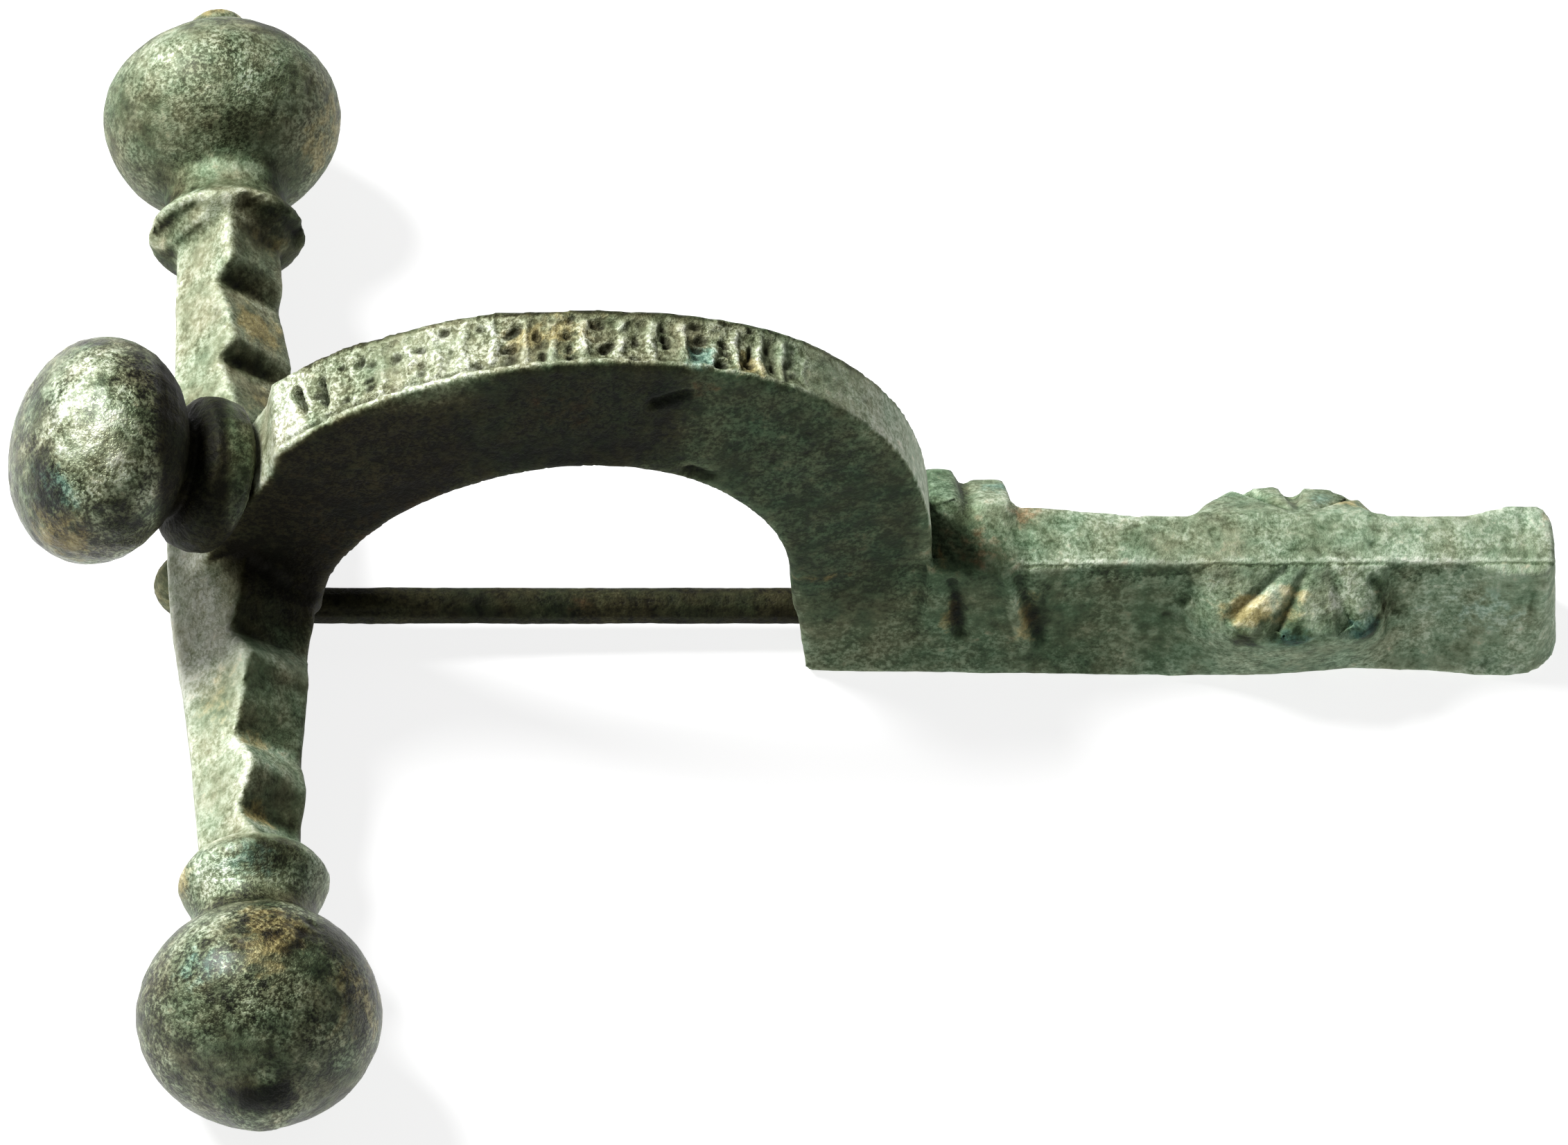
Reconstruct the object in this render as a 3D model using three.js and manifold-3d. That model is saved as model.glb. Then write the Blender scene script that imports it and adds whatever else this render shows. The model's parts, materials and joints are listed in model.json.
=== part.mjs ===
// Roman crossbow brooch, cast bronze: an arched bow with a long foot, a crossbar
// that ends in two onion knobs, a head knob of its own, and a pin hinged in the
// crossbar that closes into a channel under the foot.
//
// Millimetres. +X runs from the crossbar to the tip of the foot, +Y along the
// crossbar, +Z up. The shapes are worked out about the crossbar's centre line, and
// the finished brooch is then set down with its lowest points at Z = 0 and the
// middle of its plan at the origin.

import * as THREE from 'three';
import { mergeVertices } from 'three/addons/utils/BufferGeometryUtils.js';
import Module from 'manifold-3d';

const wasm = await Module();
wasm.setup();

// ---------------------------------------------------------------- driving sizes

const BASE_Z = -6.3;              // level of the table under the crossbar's centre line
const MIDDLE_X = 28.55;           // crossbar's centre line to the middle of the whole length

// Bow: two arches that share their ends, one outside and one inside.
const BOW_OUTER = { cx: 17, headReach: 20.5, footReach: 18.75, rise: 19.75,
  headPower: 2.0, footPower: 2.36 };
const BOW_INNER = { cx: 17.3, headReach: 13.1, footReach: 11.2, rise: 11.95,
  headPower: 1.88, footPower: 2.0 };
const BOW_FOOT_ANGLE = 4;         // degrees of arch, counted up from the foot's top
const BOW_HEAD_ANGLE = 141;       // and the head's front corner
const BOW_STATIONS = 35;
const BOW_ROOT = { outerX: 35.8, innerX: 28.8, z: -1.5 };      // buried in the foot
const STRIP_HALF = { head: 2.35, crown: 1.75, foot: 1.75 };
const SOFFIT_HALF = { head: 2.9, crown: 2.75, foot: 2.4 };
const SOFFIT_CHAMFER = 0.25;
const HEAD_ROOT = { half: 1.9, lowerFront: [-3.1, 0.4], front: -3.0, back: 4.1, z: -4.3 };
const LADDER = { rungs: 18, from: 134, to: 62, length: 0.8, border: 0.55,
  bold: 2, boldDepth: 0.5, headDepth: 0.38, crownDepth: 0.12 };

// Head knob: it leans back from the bow's front face.
const KNOB_LEAN = THREE.MathUtils.degToRad(21.2);
const RING_CENTRE = { x: -2.2, z: 7.5 };
const RING_LENGTH = 2.8;
const RING_RIM = [[0, 0], [3.4, 0], [3.95, 0.5], [4.1, 1.4], [3.95, 2.3], [3.4, 2.8]];
const HEAD_NECK = [2.6, 3.0];     // radius and distance from the ring's back
const HEAD_KNOB = { radius: 5.9, inner: 4.35, outer: 4.2, centre: 7.4, power: 2.15 };
const SEAM = 0.3;                 // gap between pieces that meet

// Crossbar
const ARM_LENGTH = 20.3;          // centre line of the bow to the middle of a collar
const ARM_HALF = [[0, 3.85], [4, 3.8], [9, 3.2], [18, 2.75], [20.3, 2.65]];
const ARM_RIDGE = { x: -0.1, z: 3.6 };
const ARM_EDGE_Z = 0.5;
const ARM_BELLY = { share: 0.93, z: -1.7 };
const ARM_BOTTOM = { share: 0.62, z: -3.5 };
const ARM_PLAIN = 3.2;            // from the bow's centre line to the first notch
const NOTCH_DEPTH = 1.15;
const NOTCH_CURVE = { fall: 1.4, climb: 1.3 };
const NOTCH_SINK = { ridgeX: 0.75, ridgeZ: 0.85, edgeX: 0.3, edgeZ: 0.35 };   // per depth
const NOTCHES = {                 // valleys along each arm, and how fast each one rises
  far: { valleys: [5.9, 10.9, 16.0], rise: 0.7 },
  near: { valleys: [6.2, 12.9, 17.4], rise: 1.9 },
};
const COLLAR = {                  // a disc at the end of the arm, `lean` outward from ARM_LENGTH
  far: { rim: 4.15, half: 0.95, lean: 0.2 },
  near: { rim: 3.9, half: 1.2, lean: 0 },
};
const COLLAR_ROOT = 3.2;
const NECK_RADIUS = 3.1;
const ARM_KNOB = {                // onion: round toward the arm, drawn out to a button
  far: { centre: 28.4, radius: 6.3, inner: 5.6, outer: 4.9, button: 1.5, buttonEnd: 6.35 },
  near: { centre: 28.5, radius: 6.3, inner: 6.0, outer: 5.7, button: 1.8, buttonEnd: 6.3 },
};
const ONION_POWER = 1.8;
const LATHE_SIDES = 28;

// Foot
const FOOT_START = 28.5;
const FOOT_END = 68.45;
const FOOT_STATIONS = [36, 41, 46, 50, 54, 58.5, 62, 64, 66];
const FOOT_TOP_HALF = [[28, 2.25], [36, 1.9], [41, 2.1], [46, 1.55], [64, 1.55], [66, 2.15]];
const FOOT_TOP_Z = [[28, 1.2], [36, 1.7], [41, 1.8], [64, 1.8], [66, 1.7]];
const FOOT_BASE_HALF = [[28, 3.0], [45, 3.3], [54, 3.25], [58.5, 2.85], [62, 3.05], [66, 3.35]];
const FOOT_RIDGE = 0.12;          // the strip on top is very slightly roofed
const FOOT_LIP = 0.3;             // chamfer along the base
const FOOT_CORNER = { radius: 2.5, half: 3.2 };   // the tip's corners, rounded in plan
const FOOT_RAKE = { catch: 1.3, tip: 1.0 };       // how far each end leans out at its base
const FLANGE_LIP = { half: 0.25, z: 0.7 };
const FLANGE_ROOT = { half: 2.7, z: -3.6 };
const MOULDING_EDGE = { run: 0.35, fall: 0.3, strip: 1.8, crown: 1.9 };
const MOULDINGS = [
  { from: 35.6, to: 37.5, half: 5.4, edgeZ: 0.5, top: 2.7 },
  { from: 37.3, to: 38.2, half: 4.75, edgeZ: 0.1, top: 2.0 },
  { from: 38.0, to: 40.2, half: 5.1, edgeZ: 0, top: 2.4 },
];
const LOBE = { edgeZ: -0.45, strip: 1.55, topZ: 1.85,
  outline: [[49.75, 2.6], [50.35, 3.9], [51.9, 4.75], [54.7, 4.95], [57.6, 4.75], [58.9, 4.3],
    [59.7, 2.8]] };
const FAN = { x: 55.1, root: 1.6, slope: { y: 3.15, z: -2.1 }, reach: 4.8, depth: 0.7, lift: 0.6,
  far: [{ turn: -52, width: 1.1 }, { turn: -2, width: 1.8 }, { turn: 34, width: 1.7 }],
  near: [{ turn: -54, width: 1.4 }, { turn: -28, width: 1.4 }, { turn: 33, width: 2.4 }] };

// Pin and its hinge
const HINGE = { x: -1.5, z: -2.45 };
const PIN = { radius: 0.98, drop: 1.92, tipX: 58, taper: 12, point: 0.18 };
const ROD = { radius: 0.6, half: 3.5, sides: 12 };
const SLOT = { half: 1.3, room: 0.35, length: 14, below: 6 };
const CHANNEL = { radius: 1.3, endX: 61, overlap: 2 };

// ------------------------------------------------------------------- small tools

const lerp = THREE.MathUtils.lerp;

/** Value at x on a line through [x, value] pairs. */
function along(pairs, x) {
  let i = 1;
  while (i < pairs.length - 1 && x > pairs[i][0]) i += 1;
  const [x0, v0] = pairs[i - 1];
  const [x1, v1] = pairs[i];
  return lerp(v0, v1, THREE.MathUtils.clamp((x - x0) / (x1 - x0), 0, 1));
}

/** A closed triangle mesh as a Manifold, its shared corners merged. */
function solid(geometry) {
  const bare = geometry.clone();
  bare.deleteAttribute('normal');
  bare.deleteAttribute('uv');
  const merged = mergeVertices(bare, 1e-5);
  const mesh = new wasm.Mesh({
    numProp: 3,
    vertProperties: new Float32Array(merged.attributes.position.array),
    triVerts: new Uint32Array(merged.index.array),
  });
  return new wasm.Manifold(mesh);
}

/** The Manifold's triangles as a flat-shaded three.js geometry. */
function toGeometry(manifold) {
  const mesh = manifold.getMesh();
  const geometry = new THREE.BufferGeometry();
  geometry.setAttribute('position', new THREE.BufferAttribute(mesh.vertProperties, 3));
  geometry.setIndex(new THREE.BufferAttribute(mesh.triVerts, 1));
  geometry.computeVertexNormals();
  return geometry;
}

/** Skin over rings of equal length, with both ends closed. */
function loft(rings) {
  const count = rings[0].length;
  const points = rings.flat();
  const faces = [];
  for (let r = 0; r + 1 < rings.length; r += 1) {
    for (let i = 0; i < count; i += 1) {
      const j = (i + 1) % count;
      const a = r * count;
      const b = a + count;
      faces.push([a + i, a + j, b + j], [a + i, b + j, b + i]);
    }
  }
  const last = (rings.length - 1) * count;
  for (let i = 1; i + 1 < count; i += 1) {
    faces.push([0, i + 1, i], [last, last + i, last + i + 1]);
  }
  const volume = faces.reduce((sum, [a, b, c]) => sum
    + points[a].dot(points[b].clone().cross(points[c])), 0);
  const order = volume > 0 ? faces : faces.map(([a, b, c]) => [a, c, b]);
  const geometry = new THREE.BufferGeometry().setFromPoints(points);
  geometry.setIndex(order.flat());
  return geometry;
}

/** A ring in the plane x = const from [y, z] pairs of its far half, mirrored. */
function mirroredRing(x, half) {
  const far = half.map(([y, z]) => new THREE.Vector3(x, y, z));
  const near = half.filter(([y]) => y > 0).map(([y, z]) => new THREE.Vector3(x, -y, z)).reverse();
  return far.concat(near);
}

/** A solid turned from [radius, distance] pairs, its axis along +Y. */
function turned(profile, sides) {
  return new THREE.LatheGeometry(profile.map(([r, d]) => new THREE.Vector2(r, d)), sides);
}

// --------------------------------------------------------------------------- bow

/** Point on one of the bow's arches, angle in degrees from the foot. */
function archPoint(arch, angle) {
  const cos = Math.cos(THREE.MathUtils.degToRad(angle));
  const sin = Math.sin(THREE.MathUtils.degToRad(angle));
  const towardHead = cos < 0;
  const reach = towardHead ? arch.headReach : arch.footReach;
  const power = 2 / (towardHead ? arch.headPower : arch.footPower);
  return new THREE.Vector2(
    arch.cx + Math.sign(cos) * reach * Math.abs(cos) ** power,
    arch.rise * sin ** power,
  );
}

/** Half-width blended from the foot over the crown to the head. */
function bowHalf(widths, angle) {
  return along([[0, widths.foot], [90, widths.crown], [BOW_HEAD_ANGLE, widths.head]], angle);
}

/** Six-sided section from the strip at `top` to the soffit at `low`. */
function bowRing(top, low, topHalf, lowHalf) {
  const down = low.clone().sub(top).normalize();
  const shoulder = low.clone().addScaledVector(down, -SOFFIT_CHAMFER);
  const inner = lowHalf - SOFFIT_CHAMFER;
  return [[top, topHalf], [shoulder, lowHalf], [low, inner],
    [low, -inner], [shoulder, -lowHalf], [top, -topHalf]]
    .map(([p, y]) => new THREE.Vector3(p.x, y, p.y));
}

/** Point on the bow's front face, `up` from the head knob's axis: a seam behind its ring. */
function seamPoint(up) {
  const axis = new THREE.Vector2(-Math.cos(KNOB_LEAN), Math.sin(KNOB_LEAN));
  const across = new THREE.Vector2(Math.sin(KNOB_LEAN), Math.cos(KNOB_LEAN));
  return new THREE.Vector2(RING_CENTRE.x, RING_CENTRE.z)
    .addScaledVector(axis, -RING_LENGTH / 2 - SEAM)
    .addScaledVector(across, up);
}

function bow() {
  const rings = [bowRing(new THREE.Vector2(BOW_ROOT.outerX, BOW_ROOT.z),
    new THREE.Vector2(BOW_ROOT.innerX, BOW_ROOT.z), STRIP_HALF.foot, SOFFIT_HALF.foot)];
  for (let i = 0; i < BOW_STATIONS; i += 1) {
    const angle = lerp(BOW_FOOT_ANGLE, BOW_HEAD_ANGLE, i / (BOW_STATIONS - 1));
    rings.push(bowRing(archPoint(BOW_OUTER, angle), archPoint(BOW_INNER, angle),
      bowHalf(STRIP_HALF, angle), bowHalf(SOFFIT_HALF, angle)));
  }
  // Below the arch the head runs down into the crossbar, its front face square to
  // the head knob's axis.
  const rim = Math.max(...RING_RIM.map(([radius]) => radius));
  const fronts = [rim, 0, -rim].map(seamPoint);
  fronts.push(new THREE.Vector2(...HEAD_ROOT.lowerFront));
  fronts.forEach((front, i) => {
    const t = (i + 1) / fronts.length;
    const back = archPoint(BOW_INNER, lerp(BOW_HEAD_ANGLE, 180, t));
    rings.push(bowRing(front, back, lerp(STRIP_HALF.head, HEAD_ROOT.half, t), SOFFIT_HALF.head));
  });
  rings.push(bowRing(new THREE.Vector2(HEAD_ROOT.front, HEAD_ROOT.z),
    new THREE.Vector2(HEAD_ROOT.back, HEAD_ROOT.z), HEAD_ROOT.half, SOFFIT_HALF.head));
  return solid(loft(rings));
}

/** Shallow pockets between the rungs of the ladder along the bow's strip. */
function ladderPockets() {
  const { rungs, from, to, length, border, bold, boldDepth, headDepth, crownDepth } = LADDER;
  const cutters = [];
  for (let i = 0; i < rungs; i += 1) {
    const t = i / (rungs - 1);
    const angle = lerp(from, to, t);
    const here = archPoint(BOW_OUTER, angle);
    const next = archPoint(BOW_OUTER, angle - 0.5);
    const depth = i < bold ? boldDepth : lerp(headDepth, crownDepth, t);
    const width = 2 * (bowHalf(STRIP_HALF, angle) - border);
    const pocket = new THREE.BoxGeometry(length, width, 2 * depth);
    pocket.rotateY(-Math.atan2(next.y - here.y, next.x - here.x));
    pocket.translate(here.x, 0, here.y);
    cutters.push(solid(pocket));
  }
  return wasm.Manifold.union(cutters);
}

// ---------------------------------------------------------------------- crossbar

/** How deep the rear slope is cut at a distance along one arm. */
function notchDepth(side, distance) {
  const { valleys, rise } = NOTCHES[side];
  let crest = ARM_PLAIN;
  for (const valley of valleys) {
    const fall = Math.max(0, (distance - crest) / (valley - crest));
    if (distance <= valley) return NOTCH_DEPTH * fall ** NOTCH_CURVE.fall;
    const climb = Math.max(0, 1 - (distance - valley) / rise);
    if (distance <= valley + rise) return NOTCH_DEPTH * climb ** NOTCH_CURVE.climb;
    crest = valley + rise;
  }
  return 0;
}

/** Roof-shaped section with its rear slope let down by `depth`. */
function armRing(y, depth) {
  const half = along(ARM_HALF, Math.abs(y));
  const ridge = [ARM_RIDGE.x - NOTCH_SINK.ridgeX * depth, ARM_RIDGE.z - NOTCH_SINK.ridgeZ * depth];
  const edge = [half - NOTCH_SINK.edgeX * depth, ARM_EDGE_Z - NOTCH_SINK.edgeZ * depth];
  const belly = half * ARM_BELLY.share;
  const bottom = half * ARM_BOTTOM.share;
  return [[-half, ARM_EDGE_Z], ridge, edge,
    [belly, ARM_BELLY.z], [bottom, ARM_BOTTOM.z], [-bottom, ARM_BOTTOM.z], [-belly, ARM_BELLY.z]]
    .map(([x, z]) => new THREE.Vector3(x, y, z));
}

function crossbar() {
  const stops = [0];
  for (const [side, sign] of [['near', -1], ['far', 1]]) {
    const { valleys, rise } = NOTCHES[side];
    stops.push(sign * ARM_PLAIN, sign * ARM_LENGTH);
    for (const valley of valleys) {
      for (const d of [-2, -0.35, 0, rise * 0.4, rise]) stops.push(sign * (valley + d));
    }
  }
  stops.sort((a, b) => a - b);
  const apart = stops.filter((y, i) => i === 0 || y - stops[i - 1] > 0.05);
  return solid(loft(apart.map((y) => armRing(y, notchDepth(y < 0 ? 'near' : 'far', Math.abs(y))))));
}

/** Profile points [radius, distance] of one arm's collar, neck, knob and button. */
function armEndProfile(side) {
  const { centre, radius, inner, outer, button, buttonEnd } = ARM_KNOB[side];
  const { rim, half, lean } = COLLAR[side];
  const middle = ARM_LENGTH + lean;
  const points = [[0, middle - half], [COLLAR_ROOT, middle - half],
    [rim - 0.2, middle - 0.4 * half], [rim, middle], [rim - 0.15, middle + 0.4 * half],
    [NECK_RADIUS + 0.3, middle + half], [NECK_RADIUS, ARM_LENGTH + 2.0]];
  const shoulder = Math.asin((NECK_RADIUS + 0.15) / radius);
  for (let i = 0; i < 7; i += 1) {
    const angle = lerp(shoulder, Math.PI / 2, i / 7);
    points.push([radius * Math.sin(angle), centre - inner * Math.cos(angle)]);
  }
  for (let i = 0; i < 8; i += 1) {
    const t = Math.sin((i / 8) * (Math.PI / 2));
    const r = radius * (1 - t ** ONION_POWER) ** (1 / ONION_POWER);
    if (r > button + 0.3) points.push([r, centre + outer * t]);
  }
  points.push([button, centre + outer - 0.2], [button, centre + buttonEnd - 0.45],
    [button - 0.45, centre + buttonEnd - 0.1], [0, centre + buttonEnd]);
  return points;
}

function armEnd(side) {
  const geometry = turned(armEndProfile(side), LATHE_SIDES);
  if (side === 'near') geometry.rotateX(Math.PI);
  return solid(geometry);
}

// -------------------------------------------------------------------------- foot

/** Section of the plain foot: a strip on top, sides that lean out to the base. */
function footRing(x, rake = 0) {
  const topZ = along(FOOT_TOP_Z, x);
  const baseHalf = along(FOOT_BASE_HALF, x);
  const ring = mirroredRing(x, [[0, topZ + FOOT_RIDGE], [along(FOOT_TOP_HALF, x), topZ],
    [baseHalf, BASE_Z + FOOT_LIP], [baseHalf - FOOT_LIP, BASE_Z]]);
  for (const point of ring) point.x += rake * ((topZ - point.z) / (topZ - BASE_Z));
  return ring;
}

function footBar() {
  return solid(loft([footRing(FOOT_START, FOOT_RAKE.catch),
    ...FOOT_STATIONS.map((x) => footRing(x)), footRing(FOOT_END, FOOT_RAKE.tip)]));
}

/** Block that keeps the foot's rounded tip, leaning as the tip does. */
function tipRounding() {
  const { radius, half } = FOOT_CORNER;
  const clear = 8;                // wider and taller than the foot
  const end = FOOT_END + FOOT_RAKE.tip;
  const plan = new THREE.Shape();
  plan.moveTo(FOOT_START - 1, -clear);
  plan.lineTo(end - radius, -clear);
  plan.lineTo(end - radius, -half);
  plan.absarc(end - radius, radius - half, radius, -Math.PI / 2, 0, false);
  plan.absarc(end - radius, half - radius, radius, 0, Math.PI / 2, false);
  plan.lineTo(end - radius, clear);
  plan.lineTo(FOOT_START - 1, clear);
  const block = new THREE.ExtrudeGeometry(plan,
    { depth: 3 * clear, bevelEnabled: false, curveSegments: 6 });
  const lean = -FOOT_RAKE.tip / (along(FOOT_TOP_Z, FOOT_END) - BASE_Z);
  block.translate(0, 0, -clear);
  block.applyMatrix4(new THREE.Matrix4().makeShear(0, 0, 0, 0, lean, 0));
  block.translate(0, 0, BASE_Z);
  return solid(block);
}

/** A moulding across the foot, or the pair of lobes: wide at mid height. */
function flangeRing(x, half, edgeZ, topHalf, topZ) {
  return mirroredRing(x, [[topHalf, topZ], [half, edgeZ],
    [half - FLANGE_LIP.half, edgeZ - FLANGE_LIP.z],
    [Math.min(half, FLANGE_ROOT.half), FLANGE_ROOT.z]]);
}

function mouldings() {
  const { run, fall, strip, crown } = MOULDING_EDGE;
  return MOULDINGS.map(({ from, to, half, edgeZ, top }) => solid(loft([
    flangeRing(from, half - run, edgeZ, strip, top - fall),
    flangeRing(from + run, half, edgeZ, crown, top),
    flangeRing(to - run, half, edgeZ, crown, top),
    flangeRing(to, half - run, edgeZ, strip, top - fall),
  ])));
}

function lobes() {
  const { edgeZ, strip, topZ, outline } = LOBE;
  return solid(loft(outline.map(([x, half]) => flangeRing(x, half, edgeZ, strip, topZ))));
}

/** Wedges that cut the fan of chip-carved grooves into both lobes. */
function fanCutters() {
  const cutters = [];
  for (const [side, sign] of [['far', 1], ['near', -1]]) {
    const out = new THREE.Vector3(0, sign * FAN.slope.y, FAN.slope.z).normalize();
    const up = new THREE.Vector3(0, -sign * FAN.slope.z, FAN.slope.y).normalize();
    const start = new THREE.Vector3(FAN.x, sign * FAN.root, LOBE.topZ);
    for (const groove of FAN[side]) {
      const turn = THREE.MathUtils.degToRad(groove.turn);
      const ray = out.clone().multiplyScalar(Math.cos(turn));
      ray.x += Math.sin(turn);
      const across = ray.clone().cross(up).normalize();
      // A wedge: a narrow floor `depth` below the lobe's face, a wide top above it.
      const section = (distance, width, depth) => {
        const wide = 0.5 * width * (1 + FAN.lift / FAN.depth);
        const narrow = 0.06 * width;
        return [[-narrow, -depth], [narrow, -depth], [wide, FAN.lift], [-wide, FAN.lift]]
          .map(([aside, height]) => start.clone().addScaledVector(ray, distance)
            .addScaledVector(across, aside).addScaledVector(up, height));
      };
      const reach = FAN.reach / Math.cos(turn);
      cutters.push(solid(loft([section(0.15, 0.15, 0.05), section(reach, groove.width, FAN.depth)])));
    }
  }
  return wasm.Manifold.union(cutters);
}

// ------------------------------------------------------------- hinge and channel

/** A disc or rod along Y, centred on the hinge. */
function onHinge(radius, half, sides) {
  const geometry = new THREE.CylinderGeometry(radius, radius, 2 * half, sides);
  geometry.translate(HINGE.x, 0, HINGE.z);
  return solid(geometry);
}

function hingeSlot() {
  const disc = onHinge(PIN.drop + PIN.radius + SLOT.room, SLOT.half, 24);
  const low = new THREE.BoxGeometry(SLOT.length, 2 * SLOT.half, SLOT.below);
  low.translate(0, 0, HINGE.z - PIN.drop + PIN.radius + SLOT.room - SLOT.below / 2);
  const bore = onHinge(ROD.radius + SEAM, ROD.half + SEAM, ROD.sides);
  return disc.add(solid(low)).add(bore);
}

function pinChannel() {
  const z = HINGE.z - PIN.drop;
  const outline = new THREE.Shape();
  outline.moveTo(-CHANNEL.radius, BASE_Z - 1);
  outline.lineTo(CHANNEL.radius, BASE_Z - 1);
  outline.absarc(0, z, CHANNEL.radius, 0, Math.PI, false);
  const geometry = new THREE.ExtrudeGeometry(outline,
    { depth: CHANNEL.endX - FOOT_START + CHANNEL.overlap, bevelEnabled: false, curveSegments: 8 });
  // The outline's first axis becomes Y, its second stays up, and the depth runs along X.
  geometry.applyMatrix4(new THREE.Matrix4().makeBasis(new THREE.Vector3(0, 1, 0),
    new THREE.Vector3(0, 0, 1), new THREE.Vector3(1, 0, 0)));
  geometry.translate(FOOT_START - CHANNEL.overlap, 0, 0);
  return solid(geometry);
}

// ------------------------------------------------------------------------ pieces

function casting() {
  const parts = [bow(), crossbar(), armEnd('far'), armEnd('near'),
    footBar().intersect(tipRounding()), lobes(), ...mouldings()];
  return wasm.Manifold.union(parts)
    .subtract(ladderPockets())
    .subtract(fanCutters())
    .subtract(hingeSlot())
    .subtract(pinChannel());
}

function headKnob() {
  const { radius, inner, outer, centre, power } = HEAD_KNOB;
  const points = [...RING_RIM, HEAD_NECK];
  for (let i = 0; i <= 14; i += 1) {
    const angle = THREE.MathUtils.degToRad(lerp(28, 180, i / 14));
    const cos = Math.cos(angle);
    const half = cos > 0 ? inner : outer;
    const r = i === 14 ? 0 : radius * Math.sin(angle) ** (2 / power);
    points.push([r, centre - half * Math.sign(cos) * Math.abs(cos) ** (2 / power)]);
  }
  const geometry = turned(points, LATHE_SIDES);
  geometry.translate(0, -RING_LENGTH / 2, 0);
  geometry.rotateZ(Math.PI / 2);             // the axis now points toward -X
  geometry.rotateY(KNOB_LEAN);
  geometry.translate(RING_CENTRE.x, 0, RING_CENTRE.z);
  return solid(geometry);
}

function pin() {
  const { radius, drop, tipX, taper, point } = PIN;
  const eye = new THREE.TorusGeometry(drop, radius, 10, 24);
  eye.rotateX(Math.PI / 2);
  eye.translate(HINGE.x, 0, HINGE.z);
  const length = tipX - HINGE.x;
  const shaft = turned([[0, 0], [radius, 0], [radius, length - taper],
    [radius * 0.72, length - taper / 2], [point, length - 0.3], [0, length]], 10);
  shaft.rotateZ(-Math.PI / 2);
  shaft.translate(HINGE.x, 0, HINGE.z - drop);
  return solid(eye).add(solid(shaft));
}

const bronze = {
  casting: new THREE.MeshStandardMaterial({ color: 0x5f6b4c, roughness: 0.75, metalness: 0.45 }),
  knob: new THREE.MeshStandardMaterial({ color: 0x4a5140, roughness: 0.6, metalness: 0.5 }),
  pin: new THREE.MeshStandardMaterial({ color: 0x3a3424, roughness: 0.6, metalness: 0.5 }),
};

const pieces = [
  ['bow_casting', casting(), bronze.casting],
  ['head_knob', headKnob(), bronze.knob],
  ['pin', pin(), bronze.pin],
  ['hinge_rod', onHinge(ROD.radius, ROD.half, ROD.sides), bronze.pin],
];

const brooch = new THREE.Group();
for (const [name, shape, material] of pieces) {
  const mesh = new THREE.Mesh(toGeometry(shape), material);
  mesh.name = name;
  brooch.add(mesh);
}

brooch.position.set(-MIDDLE_X, 0, -BASE_Z);

export default brooch;
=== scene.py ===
"""A Roman crossbow fibula: the cast bow, crossbar and foot, the separate head knob, the pin
and its rod, each given the skin, carving, corrosion and patina of buried bronze, with light and
shade painted into its colour.

Shapes are worked in millimetres in the brooch's own frame: the origin on the crossbar's axis
at the bow's centre line, X toward the foot's tip, Y toward the far arm, Z up.
"""

import json
import logging
import math
from dataclasses import dataclass
from enum import Enum
from typing import Any

import bmesh
import bpy
import numpy as np
from mathutils import Matrix, Vector, noise


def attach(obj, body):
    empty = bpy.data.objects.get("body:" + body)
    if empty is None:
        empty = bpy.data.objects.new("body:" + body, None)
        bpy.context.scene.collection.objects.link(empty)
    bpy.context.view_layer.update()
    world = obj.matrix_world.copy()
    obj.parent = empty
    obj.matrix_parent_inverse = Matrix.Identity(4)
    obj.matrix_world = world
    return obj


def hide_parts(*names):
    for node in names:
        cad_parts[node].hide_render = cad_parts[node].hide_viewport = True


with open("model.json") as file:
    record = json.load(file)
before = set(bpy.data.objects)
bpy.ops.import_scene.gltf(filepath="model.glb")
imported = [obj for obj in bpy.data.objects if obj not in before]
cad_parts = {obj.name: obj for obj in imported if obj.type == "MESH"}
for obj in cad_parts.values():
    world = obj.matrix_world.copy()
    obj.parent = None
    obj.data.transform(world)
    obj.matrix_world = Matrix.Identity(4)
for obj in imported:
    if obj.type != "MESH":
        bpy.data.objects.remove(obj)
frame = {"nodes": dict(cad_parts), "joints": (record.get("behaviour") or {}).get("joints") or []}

log = logging.getLogger("fibula")

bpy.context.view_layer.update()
MM = 0.001
HINGE = Vector((-1.5, 0.0, -2.45))  # the pin's hinge in the brooch's own frame
ORIGIN = Vector(frame["joints"][0]["pos_m"]) / MM - HINGE

Colour = tuple[float, float, float]
Point = tuple[float, float, float]
Pair = tuple[float, float]
Stops = tuple[Pair, ...]


# ---- small tools

def smoothstep(low: float, high: float, value: np.ndarray) -> np.ndarray:
    """Eased step.

    Args:
        low: value where the step starts.
        high: value where it is complete; below `low` for a falling step.
        value: where to read it.

    Returns:
        0 before the step, 1 after it, eased between.
    """
    t = np.clip((value - low) / (high - low), 0.0, 1.0)
    return t * t * (3.0 - 2.0 * t)


def along(stops: Stops, where: np.ndarray) -> np.ndarray:
    """Values read off a line through (place, value) stops."""
    places, values = zip(*stops)
    return np.interp(where, places, values)


def cloud(points: np.ndarray, size: float, seed: float = 0.0) -> np.ndarray:
    """Soft solid noise.

    Args:
        points: places, one row each, in millimetres.
        size: length of one lump.
        seed: shifts the pattern, so that two clouds differ.

    Returns:
        One value a point, roughly between -1 and 1.
    """
    shift = np.array([17.3, -9.1, 5.7]) * (seed + 1.0)
    rows = (points / size + shift).tolist()
    return np.fromiter((noise.noise(row) for row in rows), float, len(rows))


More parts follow.
